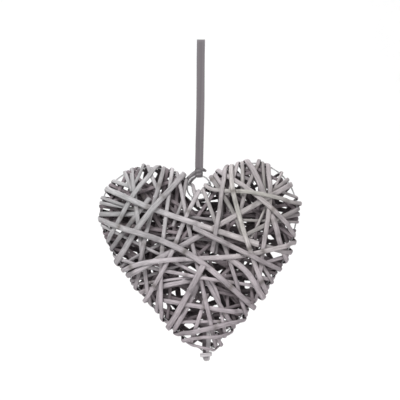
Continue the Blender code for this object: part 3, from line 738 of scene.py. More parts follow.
# A rod as it is cut: its section, how its width and its tilt drift, its knots, its grey wash and its grain
FINE_STEP = 0.00125
FINE_SOFTEN = 0.0015
SPLIT_THICKNESS = 0.0022
CROWN_POINTS = 11
CROWN_FOOT = 0.10
CROWN_CORNER = 0.8
CROWN_SHOULDER = 0.75
UNDERSIDE = (-0.86, 0, 0.86)
DRIFT_GAIN = 1.6
WIDTH_DRIFT = 0.07
WIDTH_SPACING = 0.05
TILT = 9
TILT_SPACING = 0.08
KNOT_COUNT = 20
KNOT_SPACING = 0.085
KNOT_RISE = 0.00045
KNOT_SPREAD = 0.6
KNOT_LENGTH = 0.0022
KNOT_STAIN = (0.16, 0.14, 0.13)
KNOT_STAINED = (0.3, 0.8)
CUT_SLANT = 0.45
ROD_SHARP = 55
MAUVE_WASH = (0.487, 0.430, 0.458)
GREY_WASH = (0.462, 0.460, 0.464)
GREY_SHARE = (0.8, 1.0)
OLIVE_WASH = (0.460, 0.447, 0.412)
OLIVE_SHARE = (0.3, 1.0)
WASH_SPREAD = (0.76, 1.14)
PLAIN_SPREAD = (0.7, 1.3)
# Painted shade: the crown is coloured darker from EDGE_START out to both edges, where it turns away from the
# light
PAINTED_EDGE_SHADE = 0.62
EDGE_START = 0.6
# Painted shade: the flat undersides of the rods, the stick and the binding face into the heart and are
# coloured near black for the shade there
SHADED_UNDERSIDE = (0.110, 0.092, 0.099)
STREAKS = (70, 9, 1)
FIBRES = (260, 42, 1)
CLOUDS = (38, 38, 38)

# Where the wash is greyer and where it is more olive: x, y and reach of a soft round patch, in picture pixels
GREY_PATCH = (125, 200, 75)
OLIVE_PATCH = (252, 205, 48)


def slow_noise(length, spacing, rng):
    """A smooth random line at each length, with a new value from -1 to 1 every spacing.

    The values are averaged with their neighbours, and DRIFT_GAIN makes up for what that takes away.
    """
    marks = np.arange(-2 * spacing, length[-1] + 3 * spacing, spacing)
    values = averaged(rng.uniform(-1, 1, (len(marks), 1)), 1.0, 1.0)[:, 0]
    return np.interp(length, marks, values) * DRIFT_GAIN


def rod_profile():
    """Half of a split rod seen on its end, one unit half width: a low round crown over a flat underside.

    Round a half turn, across is cos^CROWN_CORNER, and up is a low foot plus the rest of one times
    sin^CROWN_SHOULDER.
    """
    turn = np.linspace(0, math.pi, CROWN_POINTS)
    across = np.sign(np.cos(turn)) * abs(np.cos(turn)) ** CROWN_CORNER
    up = CROWN_FOOT + (1 - CROWN_FOOT) * np.sin(turn) ** CROWN_SHOULDER
    return np.concatenate([across, UNDERSIDE]), np.concatenate([up, np.zeros(len(UNDERSIDE))])


def in_patch(line, patch):
    """How much each point lies in a soft round patch, exp(-(distance / reach)^2), as a column."""
    away = np.linalg.norm(line[:, [0, 2]] - picture_point(*patch[:2]), axis=1)
    return np.exp(-(away / PIXEL / patch[2]) ** 2)[:, None]


def rod_tint(line, columns, rng, base):
    """The wash at every point of a rod: mauve, with a grey and an olive patch, and painted shade: darker at
    both edges of the crown and near black on the underside.
    """
    if base is None:
        wash = np.tile(MAUVE_WASH, (len(line), 1))
        wash += in_patch(line, GREY_PATCH) * rng.uniform(*GREY_SHARE) * (np.array(GREY_WASH) - wash)
        wash += in_patch(line, OLIVE_PATCH) * rng.uniform(*OLIVE_SHARE) * (np.array(OLIVE_WASH) - wash)
        wash *= rng.uniform(*WASH_SPREAD)
    else:
        wash = np.tile(np.array(base) * rng.uniform(*PLAIN_SPREAD), (len(line), 1))
    tint = np.repeat(wash[:, None], columns, axis=1)
    # Painted shade: darker towards both edges of the crown
    edge = np.clip((abs(np.linspace(-1, 1, CROWN_POINTS)) - EDGE_START) / (1 - EDGE_START), 0, 1)
    tint[:, :CROWN_POINTS] *= (1 - (1 - PAINTED_EDGE_SHADE) * edge)[None, :, None]
    # Painted shade on the underside
    tint[:, CROWN_POINTS:] = SHADED_UNDERSIDE
    return tint


def tinted(mesh, tint):
    """The mesh with a colour stored at each of its points."""
    colours = np.concatenate([tint, np.ones((*tint.shape[:2], 1))], axis=2)
    layer = mesh.color_attributes.new("tint", "FLOAT_COLOR", "POINT")
    layer.data.foreach_set("color", colours.reshape(-1).astype(np.float32))
    return mesh


def lay_places(length, columns):
    """Texture places on a surface: its length in metres along it, and its girth from 0 to 1."""
    girth = np.linspace(0, 1, columns + 1)
    return np.stack(np.broadcast_arrays(length[:, None], girth), axis=-1)


def rod_mesh(name, number, points, normals, height, half, thickness=SPLIT_THICKNESS, base=None):
    """A rod's surface: its profile carried along its route, with a drifting width, a slow twist and knots.

    At each length the profile is as wide as the half width and stands up by the thickness. It is tilted by
    a slow random slope, and a knot adds exp(-(distance / KNOT_LENGTH)^2 / 2) of its rise to both.
    """
    rng = np.random.default_rng(number)
    line = points + normals * height[:, None]
    steps = length_along(line)
    length = np.linspace(0, steps[-1], int(steps[-1] / FINE_STEP) + 1)

    def fine(values):
        return averaged(values_at(length, steps, values), FINE_SOFTEN, FINE_STEP)

    line, normals, half = fine(line), unit(fine(normals)), fine(half[:, None])[:, 0]
    along = unit(np.gradient(line, axis=0))
    side = unit(np.cross(along, normals))
    knots = np.cumsum(rng.uniform(0.5, 1.5, KNOT_COUNT) * KNOT_SPACING)
    knot = np.exp(-0.5 * ((length[:, None] - knots[None]) / KNOT_LENGTH) ** 2).sum(axis=1)
    half = half * (1 + WIDTH_DRIFT * slow_noise(length, WIDTH_SPACING, rng)) + KNOT_RISE * KNOT_SPREAD * knot
    tilt = np.tan(np.radians(TILT) * slow_noise(length, TILT_SPACING, rng))
    across, up = rod_profile()
    columns = len(across)
    offset = across[None] * half[:, None]
    rise = up[None] * (thickness + KNOT_RISE * knot[:, None]) + offset * tilt[:, None] * (up[None] > 0)
    grid = line[:, None] + side[:, None] * offset[..., None] + normals[:, None] * rise[..., None]
    slant = rng.uniform(-CUT_SLANT, CUT_SLANT, 2)
    grid[0] += along[0] * (offset[0] * slant[0])[:, None]
    grid[-1] += along[-1] * (offset[-1] * slant[1])[:, None]
    tint = rod_tint(line, columns, rng, base)
    stain = np.clip(knot * rng.uniform(*KNOT_STAINED), 0, 1)[:, None, None]
    tint = tint * (1 - stain) + np.array(KNOT_STAIN) * stain
    return tinted(surface_mesh(name, grid, True, True, lay_places(length + number, columns)), tint)


def new_group(name, inputs, outputs):
    """An empty shader node group with named sockets, and its own input and output nodes."""
    group = bpy.data.node_groups.new(name, "ShaderNodeTree")
    for way, sockets in (("INPUT", inputs), ("OUTPUT", outputs)):
        for socket, kind in sockets.items():
            group.interface.new_socket(socket, in_out=way, socket_type=kind)
    return group, group.nodes.new("NodeGroupInput"), group.nodes.new("NodeGroupOutput")


def streaked(tree, source, stretch, detail):
    """A noise from 0 to 1 over a place that is first stretched along its axes."""
    placed = tree.nodes.new("ShaderNodeMapping")
    placed.inputs["Scale"].default_value = stretch
    texture = tree.nodes.new("ShaderNodeTexNoise")
    texture.inputs["Scale"].default_value = 1
    texture.inputs["Detail"].default_value = detail
    tree.links.new(source, placed.inputs["Vector"])
    tree.links.new(placed.outputs["Vector"], texture.inputs["Vector"])
    return texture.outputs["Fac"]


def worked(tree, operation, first, second):
    """Two values added or multiplied."""
    node = tree.nodes.new("ShaderNodeMath")
    node.operation = operation
    tree.links.new(first, node.inputs[0])
    tree.links.new(second, node.inputs[1])
    return node.outputs["Value"]


def grain_group():
    """Wood grain as a node group: long streaks and fine fibres along the piece, and broad clouds.

    Along is the piece's own length in metres and its girth from 0 to 1, and Place is a point in space.
    """
    group, taken, given = new_group(
        "willow_grain",
        {"Along": "NodeSocketVector", "Place": "NodeSocketVector", "Wash": "NodeSocketColor"},
        {"Color": "NodeSocketColor", "Roughness": "NodeSocketFloat", "Height": "NodeSocketFloat"})
    streaks = streaked(group, taken.outputs["Along"], STREAKS, 4)
    fibres = streaked(group, taken.outputs["Along"], FIBRES, 3)
    clouds = streaked(group, taken.outputs["Place"], CLOUDS, 3)
    shade = worked(group, "MULTIPLY", ranged(group, streaks, 0.72, 1.19, 0.3, 0.7),
                   ranged(group, fibres, 0.82, 1.08, 0.25, 0.7))
    shade = worked(group, "MULTIPLY", shade, ranged(group, clouds, 0.84, 1.14, 0.3, 0.7))
    toned = group.nodes.new("ShaderNodeVectorMath")
    toned.operation = "SCALE"
    group.links.new(taken.outputs["Wash"], toned.inputs[0])
    group.links.new(shade, toned.inputs["Scale"])
    group.links.new(toned.outputs["Vector"], given.inputs["Color"])
    group.links.new(ranged(group, fibres, 0.82, 0.62, 0.2, 0.8), given.inputs["Roughness"])
    group.links.new(worked(group, "ADD", streaks, fibres), given.inputs["Height"])
    return group


willow_grain = grain_group()


def willow_finish(name):
    """Split willow with a thin grey wash: its tint is stored on the mesh, the grain follows the rod."""
    finish, nodes, links, shader = new_finish(name)
    shader.inputs["Specular IOR Level"].default_value = 0.35
    place = nodes.new("ShaderNodeTexCoord")
    along = nodes.new("ShaderNodeUVMap")
    along.uv_map = "lay"
    wash = nodes.new("ShaderNodeAttribute")
    wash.attribute_name = "tint"
    grain = nodes.new("ShaderNodeGroup")
    grain.node_tree = willow_grain
    links.new(along.outputs["UV"], grain.inputs["Along"])
    links.new(place.outputs["Object"], grain.inputs["Place"])
    links.new(wash.outputs["Color"], grain.inputs["Wash"])
    links.new(grain.outputs["Color"], shader.inputs["Base Color"])
    links.new(grain.outputs["Roughness"], shader.inputs["Roughness"])
    bump_from(nodes, links, shader, grain.outputs["Height"], 0.55, 0.00035)
    return finish


form = HeartForm()
laid = wound([(row[0] / 1000, row[1] / 1000) for row in WINDINGS],
             [rod_route(form, row, *runs) for row, runs in zip(WINDINGS, face_runs(form))],
             ROD_THICKNESS + LAY_GAP)
grey_willow = willow_finish("grey_willow")
for number, rod in enumerate(laid, 1):
    node = f"willow_rod_{number:02d}"
    name = f"{node}_fine"
    place_piece(name, rod_mesh(name, number, *rod), grey_willow, ROD_SHARP, node)


# The inner willow
# Thinner rods that were wound first. They fill the heart between its face and its back, and their wash is
# painted dark as shade, so that what shows through the gaps is dark. Some go over the rim, others are
# tucked in behind it. They keep clear of the places where daylight shows right through the heart.
WOUND_RODS = 12
TUCKED_RODS = 66
INNER_TRIES = 90
INNER_WIDTH = 0.0042
INNER_THICKNESS = 0.0010
INNER_SHARE = 0.34
INNER_EASE = (0.002, 0.012)
INNER_SEED = 13
INNER_FIRST = 100
LEAST_INSIDE = 0.001
TUCK_DEPTH = 0.0045
# Painted shade: the inner rods take a dark copy of the wash for the shade inside the heart
INNER_SHADED_WASH = (0.235, 0.199, 0.213)
INNER_CELL = 0.00125
INNER_REACH = 0.055
DAYLIGHT_COST = 4.0
DAYLIGHT_EDGE = 0.0004
DAYLIGHT_ROOM = 3
COVERED = 0.12
OPEN = 0.5
RIM_SPARE = 1.15
RING_ROOM = 12.5
TIP_ROOM = 24
BUNDLE = 8

# Daylight on the picture: x, y and half the size of each place, in picture pixels
DAYLIGHT = [
    (121.3, 178.9, 2.5), (115, 186.3, 2.2), (125.5, 188.5, 1.8), (142, 179, 1.8), (145, 173, 1.8),
    (148, 182, 1.6), (108.7, 195.4, 2), (107.3, 208.5, 2.5), (155.2, 176, 1.6), (166.4, 175.4, 1.6),
    (173.8, 192.2, 1.4), (187.5, 196, 2.4), (239.3, 170, 1.8), (237.5, 188.7, 1.8), (245.3, 180.3, 1.4),
    (253.9, 185.5, 2.7), (215.6, 199, 3.2), (244, 208, 2), (273.9, 174, 2.5), (272.8, 182, 1.8),
    (290.7, 191.8, 2.4), (287.9, 197.1, 1.8), (279.8, 202.4, 1.6), (281, 209.5, 2.5), (286.5, 207.5, 2.5),
    (119.6, 230.3, 2.3), (117.1, 246.7, 1.5), (130.1, 247.1, 1.4), (136.7, 249, 1.4), (150.6, 244.5, 2.5),
    (158.9, 250.6, 2), (215.1, 210.8, 2.5), (193, 210.3, 1.8), (251.2, 224.3, 2.2), (291.4, 226, 3),
    (271.4, 237.1, 2), (276, 255.9, 3.5), (257, 247.8, 1.5), (151.5, 272.2, 1.6), (164.1, 305.5, 1.8),
    (194.3, 268, 3), (178.7, 276, 1.5), (180.6, 289.5, 2.7), (173.9, 292.2, 2.3), (172.5, 306, 1.8),
    (214.1, 300.6, 2.2), (240.8, 262.7, 2), (248.3, 263.4, 2.5), (242.7, 279.6, 2.5), (243.8, 287.1, 2.3),
    (188, 313.1, 1.8), (193, 313.1, 1.5), (185.5, 325.3, 2.5), (190.5, 325.3, 2.5), (219.4, 321.8, 2.5),
    (225, 321, 2), (198.3, 343.2, 3.5), (213, 342.2, 2.5),
]

inner_random = np.random.default_rng(INNER_SEED)
cell_low = np.array(picture_point(BOX_LEFT, BOX_BOTTOM)) - INNER_CELL
cell_count = (np.array([HEART_WIDTH, HEART_HEIGHT]) / INNER_CELL).astype(int) + 3


def cells_of(plan, half):
    """The cells that a rod of this half width covers along a plan line."""
    reach = int(half / INNER_CELL) + 1
    around = np.stack(np.meshgrid(*[np.arange(-reach, reach + 1)] * 2), axis=-1).reshape(-1, 2)
    at = np.round((plan - cell_low) / INNER_CELL).astype(int)[:, None] + around
    near = np.linalg.norm(at * INNER_CELL + cell_low - plan[:, None], axis=2) < half
    at = np.clip(at, 0, cell_count - 1)
    return np.unique((at[..., 0] * cell_count[1] + at[..., 1])[near])


def as_seen(points):
    """Where the camera sees each point against the plane through the rim."""
    centre = np.array(CAMERA_AT)[[0, 2]]
    return centre + (points[:, [0, 2]] - centre) * (CAMERA_AWAY / (CAMERA_AWAY + points[:, 1]))[:, None]


def open_worth():
    """What it is worth to cover each cell: much where the rods leave it open, a loss in daylight."""
    plan = np.stack(np.meshgrid(*[np.arange(n) for n in cell_count], indexing="ij"), axis=-1).reshape(-1, 2)
    plan = plan * INNER_CELL + cell_low
    worth = np.where(form.inside(plan) > TUCK_DEPTH, 1.0, 0.0)
    for points, normals, height, half in laid:
        worth[cells_of(as_seen(points + normals * height[:, None]), half.mean())] *= COVERED
    for x, y, size in DAYLIGHT + [(*RING_AT, RING_ROOM), (*RIM[0], TIP_ROOM)]:
        away = np.linalg.norm(plan - picture_point(x, y), axis=1)
        worth[away < size * PIXEL + DAYLIGHT_EDGE] = -DAYLIGHT_COST
    return worth


def free_places(rods):
    """Plan points on the outline between the rods that go over it, away from ring, tip and daylight."""
    along = np.concatenate([[0], np.cumsum(form.length)])
    places = [(along[crossing], INNER_WIDTH) for crossing in ring_crossings(form)]
    for points, _, _, half in rods:
        for i in np.nonzero(np.diff(np.sign(points[:, 1])))[0]:
            nearest = int(np.linalg.norm(form.line - points[i, [0, 2]], axis=1).argmin())
            places.append((along[nearest], half[i]))
    at, half = np.array(sorted(places)).T
    start = at + half
    room = (np.roll(at - half, -1) - start) % along[-1]
    room[room > along[-1] / 2] = 0
    count = ((room + CLEARANCE) / (INNER_WIDTH * RIM_SPARE)).astype(int)
    free = np.concatenate([s + r * (np.arange(n) + 0.5) / n for s, r, n in zip(start, room, count) if n])
    plan = values_at(free % along[-1], along, np.vstack([form.line, form.line[:1]]))
    away = [np.linalg.norm(plan - picture_point(x, y), axis=1) - (size + DAYLIGHT_ROOM) * PIXEL
            for x, y, size in DAYLIGHT + [(*RIM[0], TIP_ROOM)]]
    return plan[np.min(away, axis=0) > 0]


def aimed_pair(places, worth):
    """Two places on either side of a cell that is still open."""
    cell = inner_random.choice(np.nonzero(worth > OPEN)[0])
    target = np.array(divmod(cell, cell_count[1])) * INNER_CELL + cell_low
    bearing = np.arctan2(*(places - target).T)
    aim = inner_random.uniform(-math.pi, math.pi)
    return [abs((bearing - aim + turn) % (2 * math.pi) - math.pi).argmin() for turn in (0, math.pi)]


def chosen_stops(count, stops, places, worth, used_up):
    """The stops of each new inner rod: of many tries, the one that covers most of what is worth covering.

    A try scores the worth of its cells over the root of its length. The last rods are left out where no
    try scores more than nothing.
    """
    chosen = []
    for _ in range(count):
        best = None
        for _ in range(INNER_TRIES):
            if len(places) < stops:
                break
            if stops > 2:
                pick = inner_random.choice(len(places), stops, replace=False)
            else:
                pick = aimed_pair(places, worth)
            legs = [respaced(np.array([places[a], places[b]]), INNER_CELL) for a, b in zip(pick, pick[1:])]
            if any(len(leg) * INNER_CELL < INNER_REACH or form.inside(leg[2:-2:3]).min() < LEAST_INSIDE
                   for leg in legs):
                continue
            cells = np.unique(np.concatenate([cells_of(leg, INNER_WIDTH / 2) for leg in legs]))
            score = worth[cells].sum() / math.sqrt(sum(len(leg) for leg in legs))
            if best is None or score > best[0]:
                best = (score, pick, cells)
        if best is None or best[0] < 0:
            break
        worth[best[2]] *= np.where(worth[best[2]] > 0, COVERED, 1)
        chosen.append(places[best[1]])
        if used_up:
            places = np.delete(places, best[1], axis=0)
    return chosen


def inner_route(stops, first_side):
    """An inner rod's route: over the rim at every stop, and before or behind the hollow between them."""
    runs = [respaced(np.array(pair), PLAN_STEP) for pair in zip(stops, stops[1:])]
    sides = first_side * (-1) ** np.arange(len(runs))
    pieces = [raised(form, run, side) for run, side in zip(runs, sides)]
    if len(runs) > 1:
        pieces.insert(0, turned_under(form, runs[0], 0, -sides[0]))
        pieces.append(turned_under(form, runs[-1], -1, -sides[-1]))
    points, normals = on_form(form, pieces)
    inside = form.inside(points[:, [0, 2]])
    points[:, 1] *= INNER_SHARE if len(runs) == 1 else np.interp(inside, INNER_EASE, [1, INNER_SHARE])
    return points, normals


def bundle_mesh(name, rods):
    """One mesh from those of several rods."""
    body = bmesh.new()
    for rod in rods:
        body.from_mesh(rod)
        bpy.data.meshes.remove(rod)
    mesh = bpy.data.meshes.new(name)
    body.to_mesh(mesh)
    body.free()
    return mesh


worth = open_worth()
inner_stops = chosen_stops(WOUND_RODS, 4, free_places(laid), worth, True)
inner_routes = [inner_route(stops, FRONT) for stops in inner_stops]
tucks = form.line - outward_of(form.line) * TUCK_DEPTH
inner_stops = chosen_stops(TUCKED_RODS, 2, tucks, worth, False)
inner_routes += [inner_route(stops, FRONT if number % 2 else BEHIND)
                 for number, stops in enumerate(inner_stops)]
inner_widths = [(INNER_WIDTH, INNER_WIDTH)] * len(inner_routes)
inner_rods = [rod_mesh(f"inner_rod_{number:02d}", INNER_FIRST + number, *rod, INNER_THICKNESS, INNER_SHADED_WASH)
              for number, rod in enumerate(wound(inner_widths, inner_routes, INNER_THICKNESS + CLEARANCE), 1)]
# The inner rods' dark tint is painted shade
shaded_willow = willow_finish("shaded_willow")
for number in range(0, len(inner_rods), BUNDLE):
    name = f"inner_rods_{number // BUNDLE + 1}"
    mesh = bundle_mesh(name, inner_rods[number:number + BUNDLE])
    place_piece(name, mesh, shaded_willow, ROD_SHARP)


# The slipped rods
# Thin split rods that were pushed in last, straight under the face, to close its widest gaps. The wound
# rods that cross over them hold them.
SLIPPED_FIRST = 200
SLIPPED_SHARE = 0.80
SLIPPED_THICKNESS = 0.0014
# Painted shade: a darker copy of the wash, for rods that lie in shade under the face
SLIPPED_SHADED_WASH = (0.31, 0.285, 0.297)

# Each row gives a rod's width in millimetres and its run in picture pixels
SLIPPED = [
    (3.7, [(186, 216.5), (200, 218), (213, 220)]),
    (3.5, [(165, 238.3), (190, 238.5), (218, 240)]),
    (4.2, [(233, 173), (243, 177), (254, 181.5)]),
    (4.2, [(220, 192), (221.5, 208), (217.5, 238), (215.5, 254)]),
]

slipped_routes = []
for _, pixels in SLIPPED:
    points = form.settle(raised(form, smooth_line(plan_points(pixels), LAY_STEP), FRONT))
    normals = form.normal(points)
    points[:, 1] *= SLIPPED_SHARE
    slipped_routes.append((points, normals))
slipped_widths = [(width / 1000, width / 1000) for width, _ in SLIPPED]
slipped = wound(slipped_widths, slipped_routes, SLIPPED_THICKNESS + CLEARANCE)
for number, rod in enumerate(slipped, 1):
    name = f"slipped_rod_{number}"
    mesh = rod_mesh(name, SLIPPED_FIRST + number, *rod, SLIPPED_THICKNESS, SLIPPED_SHADED_WASH)
    place_piece(name, mesh, grey_willow, ROD_SHARP)


# The stick and its stub
# A short split stick that stands in the tip in front of the wire: a lower strip on its left painted dark
# as shade, the pale split wood on its right, painted paler still as light, and a rough cut stub that stands
# out below the binding.
STICK_WIDTH = 0.0104
STICK_THICKNESS = 0.0018
STICK_SEED = 5
STICK_ROWS = 90
STICK_COLUMNS = 19
STICK_LENGTH = 0.066
STICK_WANDER = 0.04
STICK_SPACING = 0.006
STICK_ROUND = 0.28
STICK_UNDERSIDE = (0.9, 0, -0.9)
STICK_RIPPLE = 0.0003
STICK_RAGGED = 0.0006
STICK_SHARP = 30
STICK_GRAIN = 7
STICK_SHADED_STRIP = -0.08
SHADED_STRIP_DROP = 0.35
BAND_AT = (206, 354.4)
# Partly the pale split wood, and partly painted light: the colour is raised to make up for the shade that the
# rods above cast on the stick
STICK_PALE_AND_LIT = (0.60, 0.56, 0.58)
# Painted shade: the stick's left strip is coloured dark for the shadow that falls there
STICK_PAINTED_SHADE = (0.17, 0.148, 0.157)
STUB_SHADE = 0.72

# From the top down: x and y of the middle in picture pixels, and the share of the full width
STICK_STATIONS = [(206.8, 308, 0.7), (206.8, 320, 0.95), (206.6, 342, 1.0), (206.3, 346, 0.97),
                  (206, 349, 0.76), (206.3, 357, 0.84), (206.6, 359.5, 0.7), (206.6, 360.6, 0.52)]


def stick_mesh(name):
    """A flat stick: its width follows the stations, and both ends are rough.

    Its face stands up by 1 - STICK_ROUND * across^4, and lies lower by the strip drop, a share of the
    thickness, along its left strip, which is painted dark as shade.
    """
    rng = np.random.default_rng(STICK_SEED)
    stations = np.array(STICK_STATIONS)
    middle = plan_points(stations[:, :2])
    z = np.linspace(middle[0, 1], middle[-1, 1], STICK_ROWS)
    x = np.interp(-z, -middle[:, 1], middle[:, 0])
    half = np.interp(-z, -middle[:, 1], stations[:, 2]) * STICK_WIDTH / 2
    half = half * (1 + STICK_WANDER * slow_noise(np.linspace(0, STICK_LENGTH, len(z)), STICK_SPACING, rng))
    face = np.linspace(-1, 1, STICK_COLUMNS)
    across = np.concatenate([face, STICK_UNDERSIDE])
    face = 1 - STICK_ROUND * abs(face) ** 4 - SHADED_STRIP_DROP * (face < STICK_SHADED_STRIP)
    up = np.concatenate([face * STICK_THICKNESS, np.zeros(len(STICK_UNDERSIDE))])
    ripple = averaged(rng.normal(0, 1, (len(z), 1)), 6.0, 1.0)[:, 0] * STICK_RIPPLE
    back = -(RIM_WIRE / 2 + CLEARANCE)
    grid = np.empty((len(z), len(across), 3))
    grid[..., 0] = x[:, None] + across[None] * half[:, None]
    grid[..., 1] = back - up[None] - ripple[:, None] * (up[None] > 0)
    grid[..., 2] = z[:, None]
    ragged = rng.uniform(-1, 1, len(across)) * STICK_RAGGED
    grid[-1, :, 2] += ragged
    grid[0, :, 2] -= ragged
    # The left strip, above the stub, is painted dark as shade
    shaded_strip = (across < STICK_SHADED_STRIP)[None, :, None]
    stub = (z < picture_point(*BAND_AT)[1])[:, None, None]
    tint = np.where(shaded_strip & ~stub, STICK_PAINTED_SHADE, np.array(STICK_PALE_AND_LIT) * np.where(stub, STUB_SHADE, 1))
    # Painted shade on the stick's underside
    tint[:, STICK_COLUMNS:] = SHADED_UNDERSIDE
    return tinted(surface_mesh(name, grid, True, True, lay_places(STICK_GRAIN - z, len(across))), tint)


stick = stick_mesh("spine_stick_fine")
place_piece("spine_stick_fine", stick, grey_willow, STICK_SHARP, "spine_stick")


# The binding
# A flat strip of willow, wound round the stick and the rim wire at the tip to hold both together. It
# slopes up to the right, and its end is tucked under behind.
BAND_WIDTH = 0.0149
BAND_HEIGHT = 0.0050
BAND_THICKNESS = 0.0012
BAND_TILT = 7
BAND_WAVE = 0.0003
BAND_POINTS = 96
BAND_COLUMNS = 13
BAND_CORNER = 0.5
BAND_CROWN = 0.35
BAND_UNDERSIDE = (0.85, 0, -0.85)
BAND_GROOVE = 0.22
GROOVE_AT = 0.15
GROOVE_WIDTH = 0.12
GROOVE_COLUMNS = slice(7, 9)
# Painted shade: the groove's columns are coloured darker
GROOVE_PAINTED_SHADE = 0.72
BAND_SHARP = 50
BAND_GRAIN = 3
BAND_WASH = (0.68, 0.64, 0.66)


def boxed(angle, squareness):
    """A circle drawn out towards a box: cos and sin of the angle, each to the power and with its sign."""
    return tuple(np.sign(f(angle)) * abs(f(angle)) ** squareness for f in (np.cos, np.sin))


def band_mesh(name):
    """A closed strip round a rounded box, tilted up to the right, with a low crown and a groove along it.

    Across it the outer face stands at 0.5 - BAND_CROWN * |across|^3 of the thickness, less the groove's
    bell, BAND_GROOVE * exp(-((across - GROOVE_AT) / GROOVE_WIDTH)^2).
    """
    x, z = picture_point(*BAND_AT)
    front = -(RIM_WIRE / 2 + 3 * CLEARANCE + STICK_THICKNESS + BAND_THICKNESS / 2)
    back = RIM_WIRE / 2 + CLEARANCE + BAND_THICKNESS / 2
    half_x = BAND_WIDTH / 2 - BAND_THICKNESS / 2
    half_y = (back - front) / 2
    angle = np.linspace(0, 2 * math.pi, BAND_POINTS, endpoint=False)
    wide, deep = boxed(angle, BAND_CORNER)
    tilt = half_x * wide * math.sin(math.radians(BAND_TILT)) + BAND_WAVE * np.sin(2 * angle + 1)
    line = np.stack([x + half_x * wide, (front + back) / 2 + half_y * deep, z + tilt], axis=1)
    line = np.vstack([line, line[:1]])
    out = unit(np.stack([wide, deep, 0 * wide], axis=1))
    out = np.vstack([out, out[:1]])
    across = np.linspace(-1, 1, BAND_COLUMNS)
    height = np.concatenate([across, BAND_UNDERSIDE])
    groove = BAND_GROOVE * np.exp(-((across - GROOVE_AT) / GROOVE_WIDTH) ** 2)
    proud = np.concatenate([0.5 - BAND_CROWN * abs(across) ** 3 - groove, np.full(len(BAND_UNDERSIDE), -0.5)])
    grid = (line[:, None] + out[:, None] * proud[None, :, None] * BAND_THICKNESS
            + height[None, :, None] * [0, 0, BAND_HEIGHT / 2])
    tint = np.tile(BAND_WASH, (*grid.shape[:2], 1))
    # Painted shade in the groove
    tint[:, GROOVE_COLUMNS] *= GROOVE_PAINTED_SHADE
    # Painted shade on the binding's underside
    tint[:, BAND_COLUMNS:] = SHADED_UNDERSIDE
    places = lay_places(length_along(line) + BAND_GRAIN, len(height))
    return seam_joined(tinted(surface_mesh(name, grid, True, False, places), tint))


binding = band_mesh("tip_binding_fine")
place_piece("tip_binding_fine", binding, grey_willow, BAND_SHARP, "tip_binding")


# The ribbon
# One length of 10 mm grey satin ribbon, folded over the hook and hanging double to the ring. Just above
# the knot both legs are gathered, and their edges turn inwards.
RIBBON_WIDTH = 0.0100
RIBBON_THICKNESS = 0.0008
RIBBON_CLOTH = 0.0004
RIBBON_GATHER = 0.0070
RIBBON_FOLD = 0.0016
GATHER_LENGTH = 0.0010
GATHER_CURL = 0.0011
RIBBON_WAVE = 0.0003
WAVE_TURN = 9
RIBBON_SWAY = 0.0005
RIBBON_STEP = 0.0012
RIBBON_SOFTEN = 0.0008
RIBBON_COLUMNS = 17
FOLD_POINTS = 25
SEAM_LEAD = 40
SEAM_REACH = 2e-5
RIBBON_SHARP = 60
KNOT_TOP = (199, 168.5)
KNOT_LOW = (199, 177)
SATIN = (0.200, 0.181, 0.193)
SATIN_SHADE = (0.130, 0.115, 0.124)
SATIN_BANDS = (6, 9, 1)
SATIN_THREADS = (3200, 6, 1)

# How light the satin is across its width: place from edge to edge, and the share of the light colour. The dip
# near the middle is painted shade of a soft crease.
SATIN_EDGES = (0.55, 0.65)
SATIN_ACROSS = [(0.08, 1.0), (0.25, 0.95), (0.46, 0.62), (0.66, 0.85), (0.9, 1.0)]


def knot_reach():
    """Half the depth of the loop where it goes round the turned ring."""
    turn = RIBBON_GATHER / 2 * math.sin(math.radians(abs(RING_TURN)))
    return RING_WIRE / 2 + turn + CLEARANCE + RIBBON_THICKNESS / 2


def ribbon_grid(line, normals, width, curl):
    """A ribbon's cloth along a line: columns go across its outer face and back across its inner one.

    The width is a distance across, and the edges turn towards the inside by curl * across^4.
    """
    share = np.linspace(-1, 1, RIBBON_COLUMNS)
    across = (share[None] * width[:, None] / 2)[..., None] * np.array([1.0, 0, 0])
    drop = (share ** 4 * curl[:, None])[..., None] * normals[:, None]
    face = line[:, None] + across - drop
    outer = face + normals[:, None] * RIBBON_CLOTH / 2
    inner = face - normals[:, None] * RIBBON_CLOTH / 2
    return np.concatenate([outer, inner[:, ::-1]], axis=1)


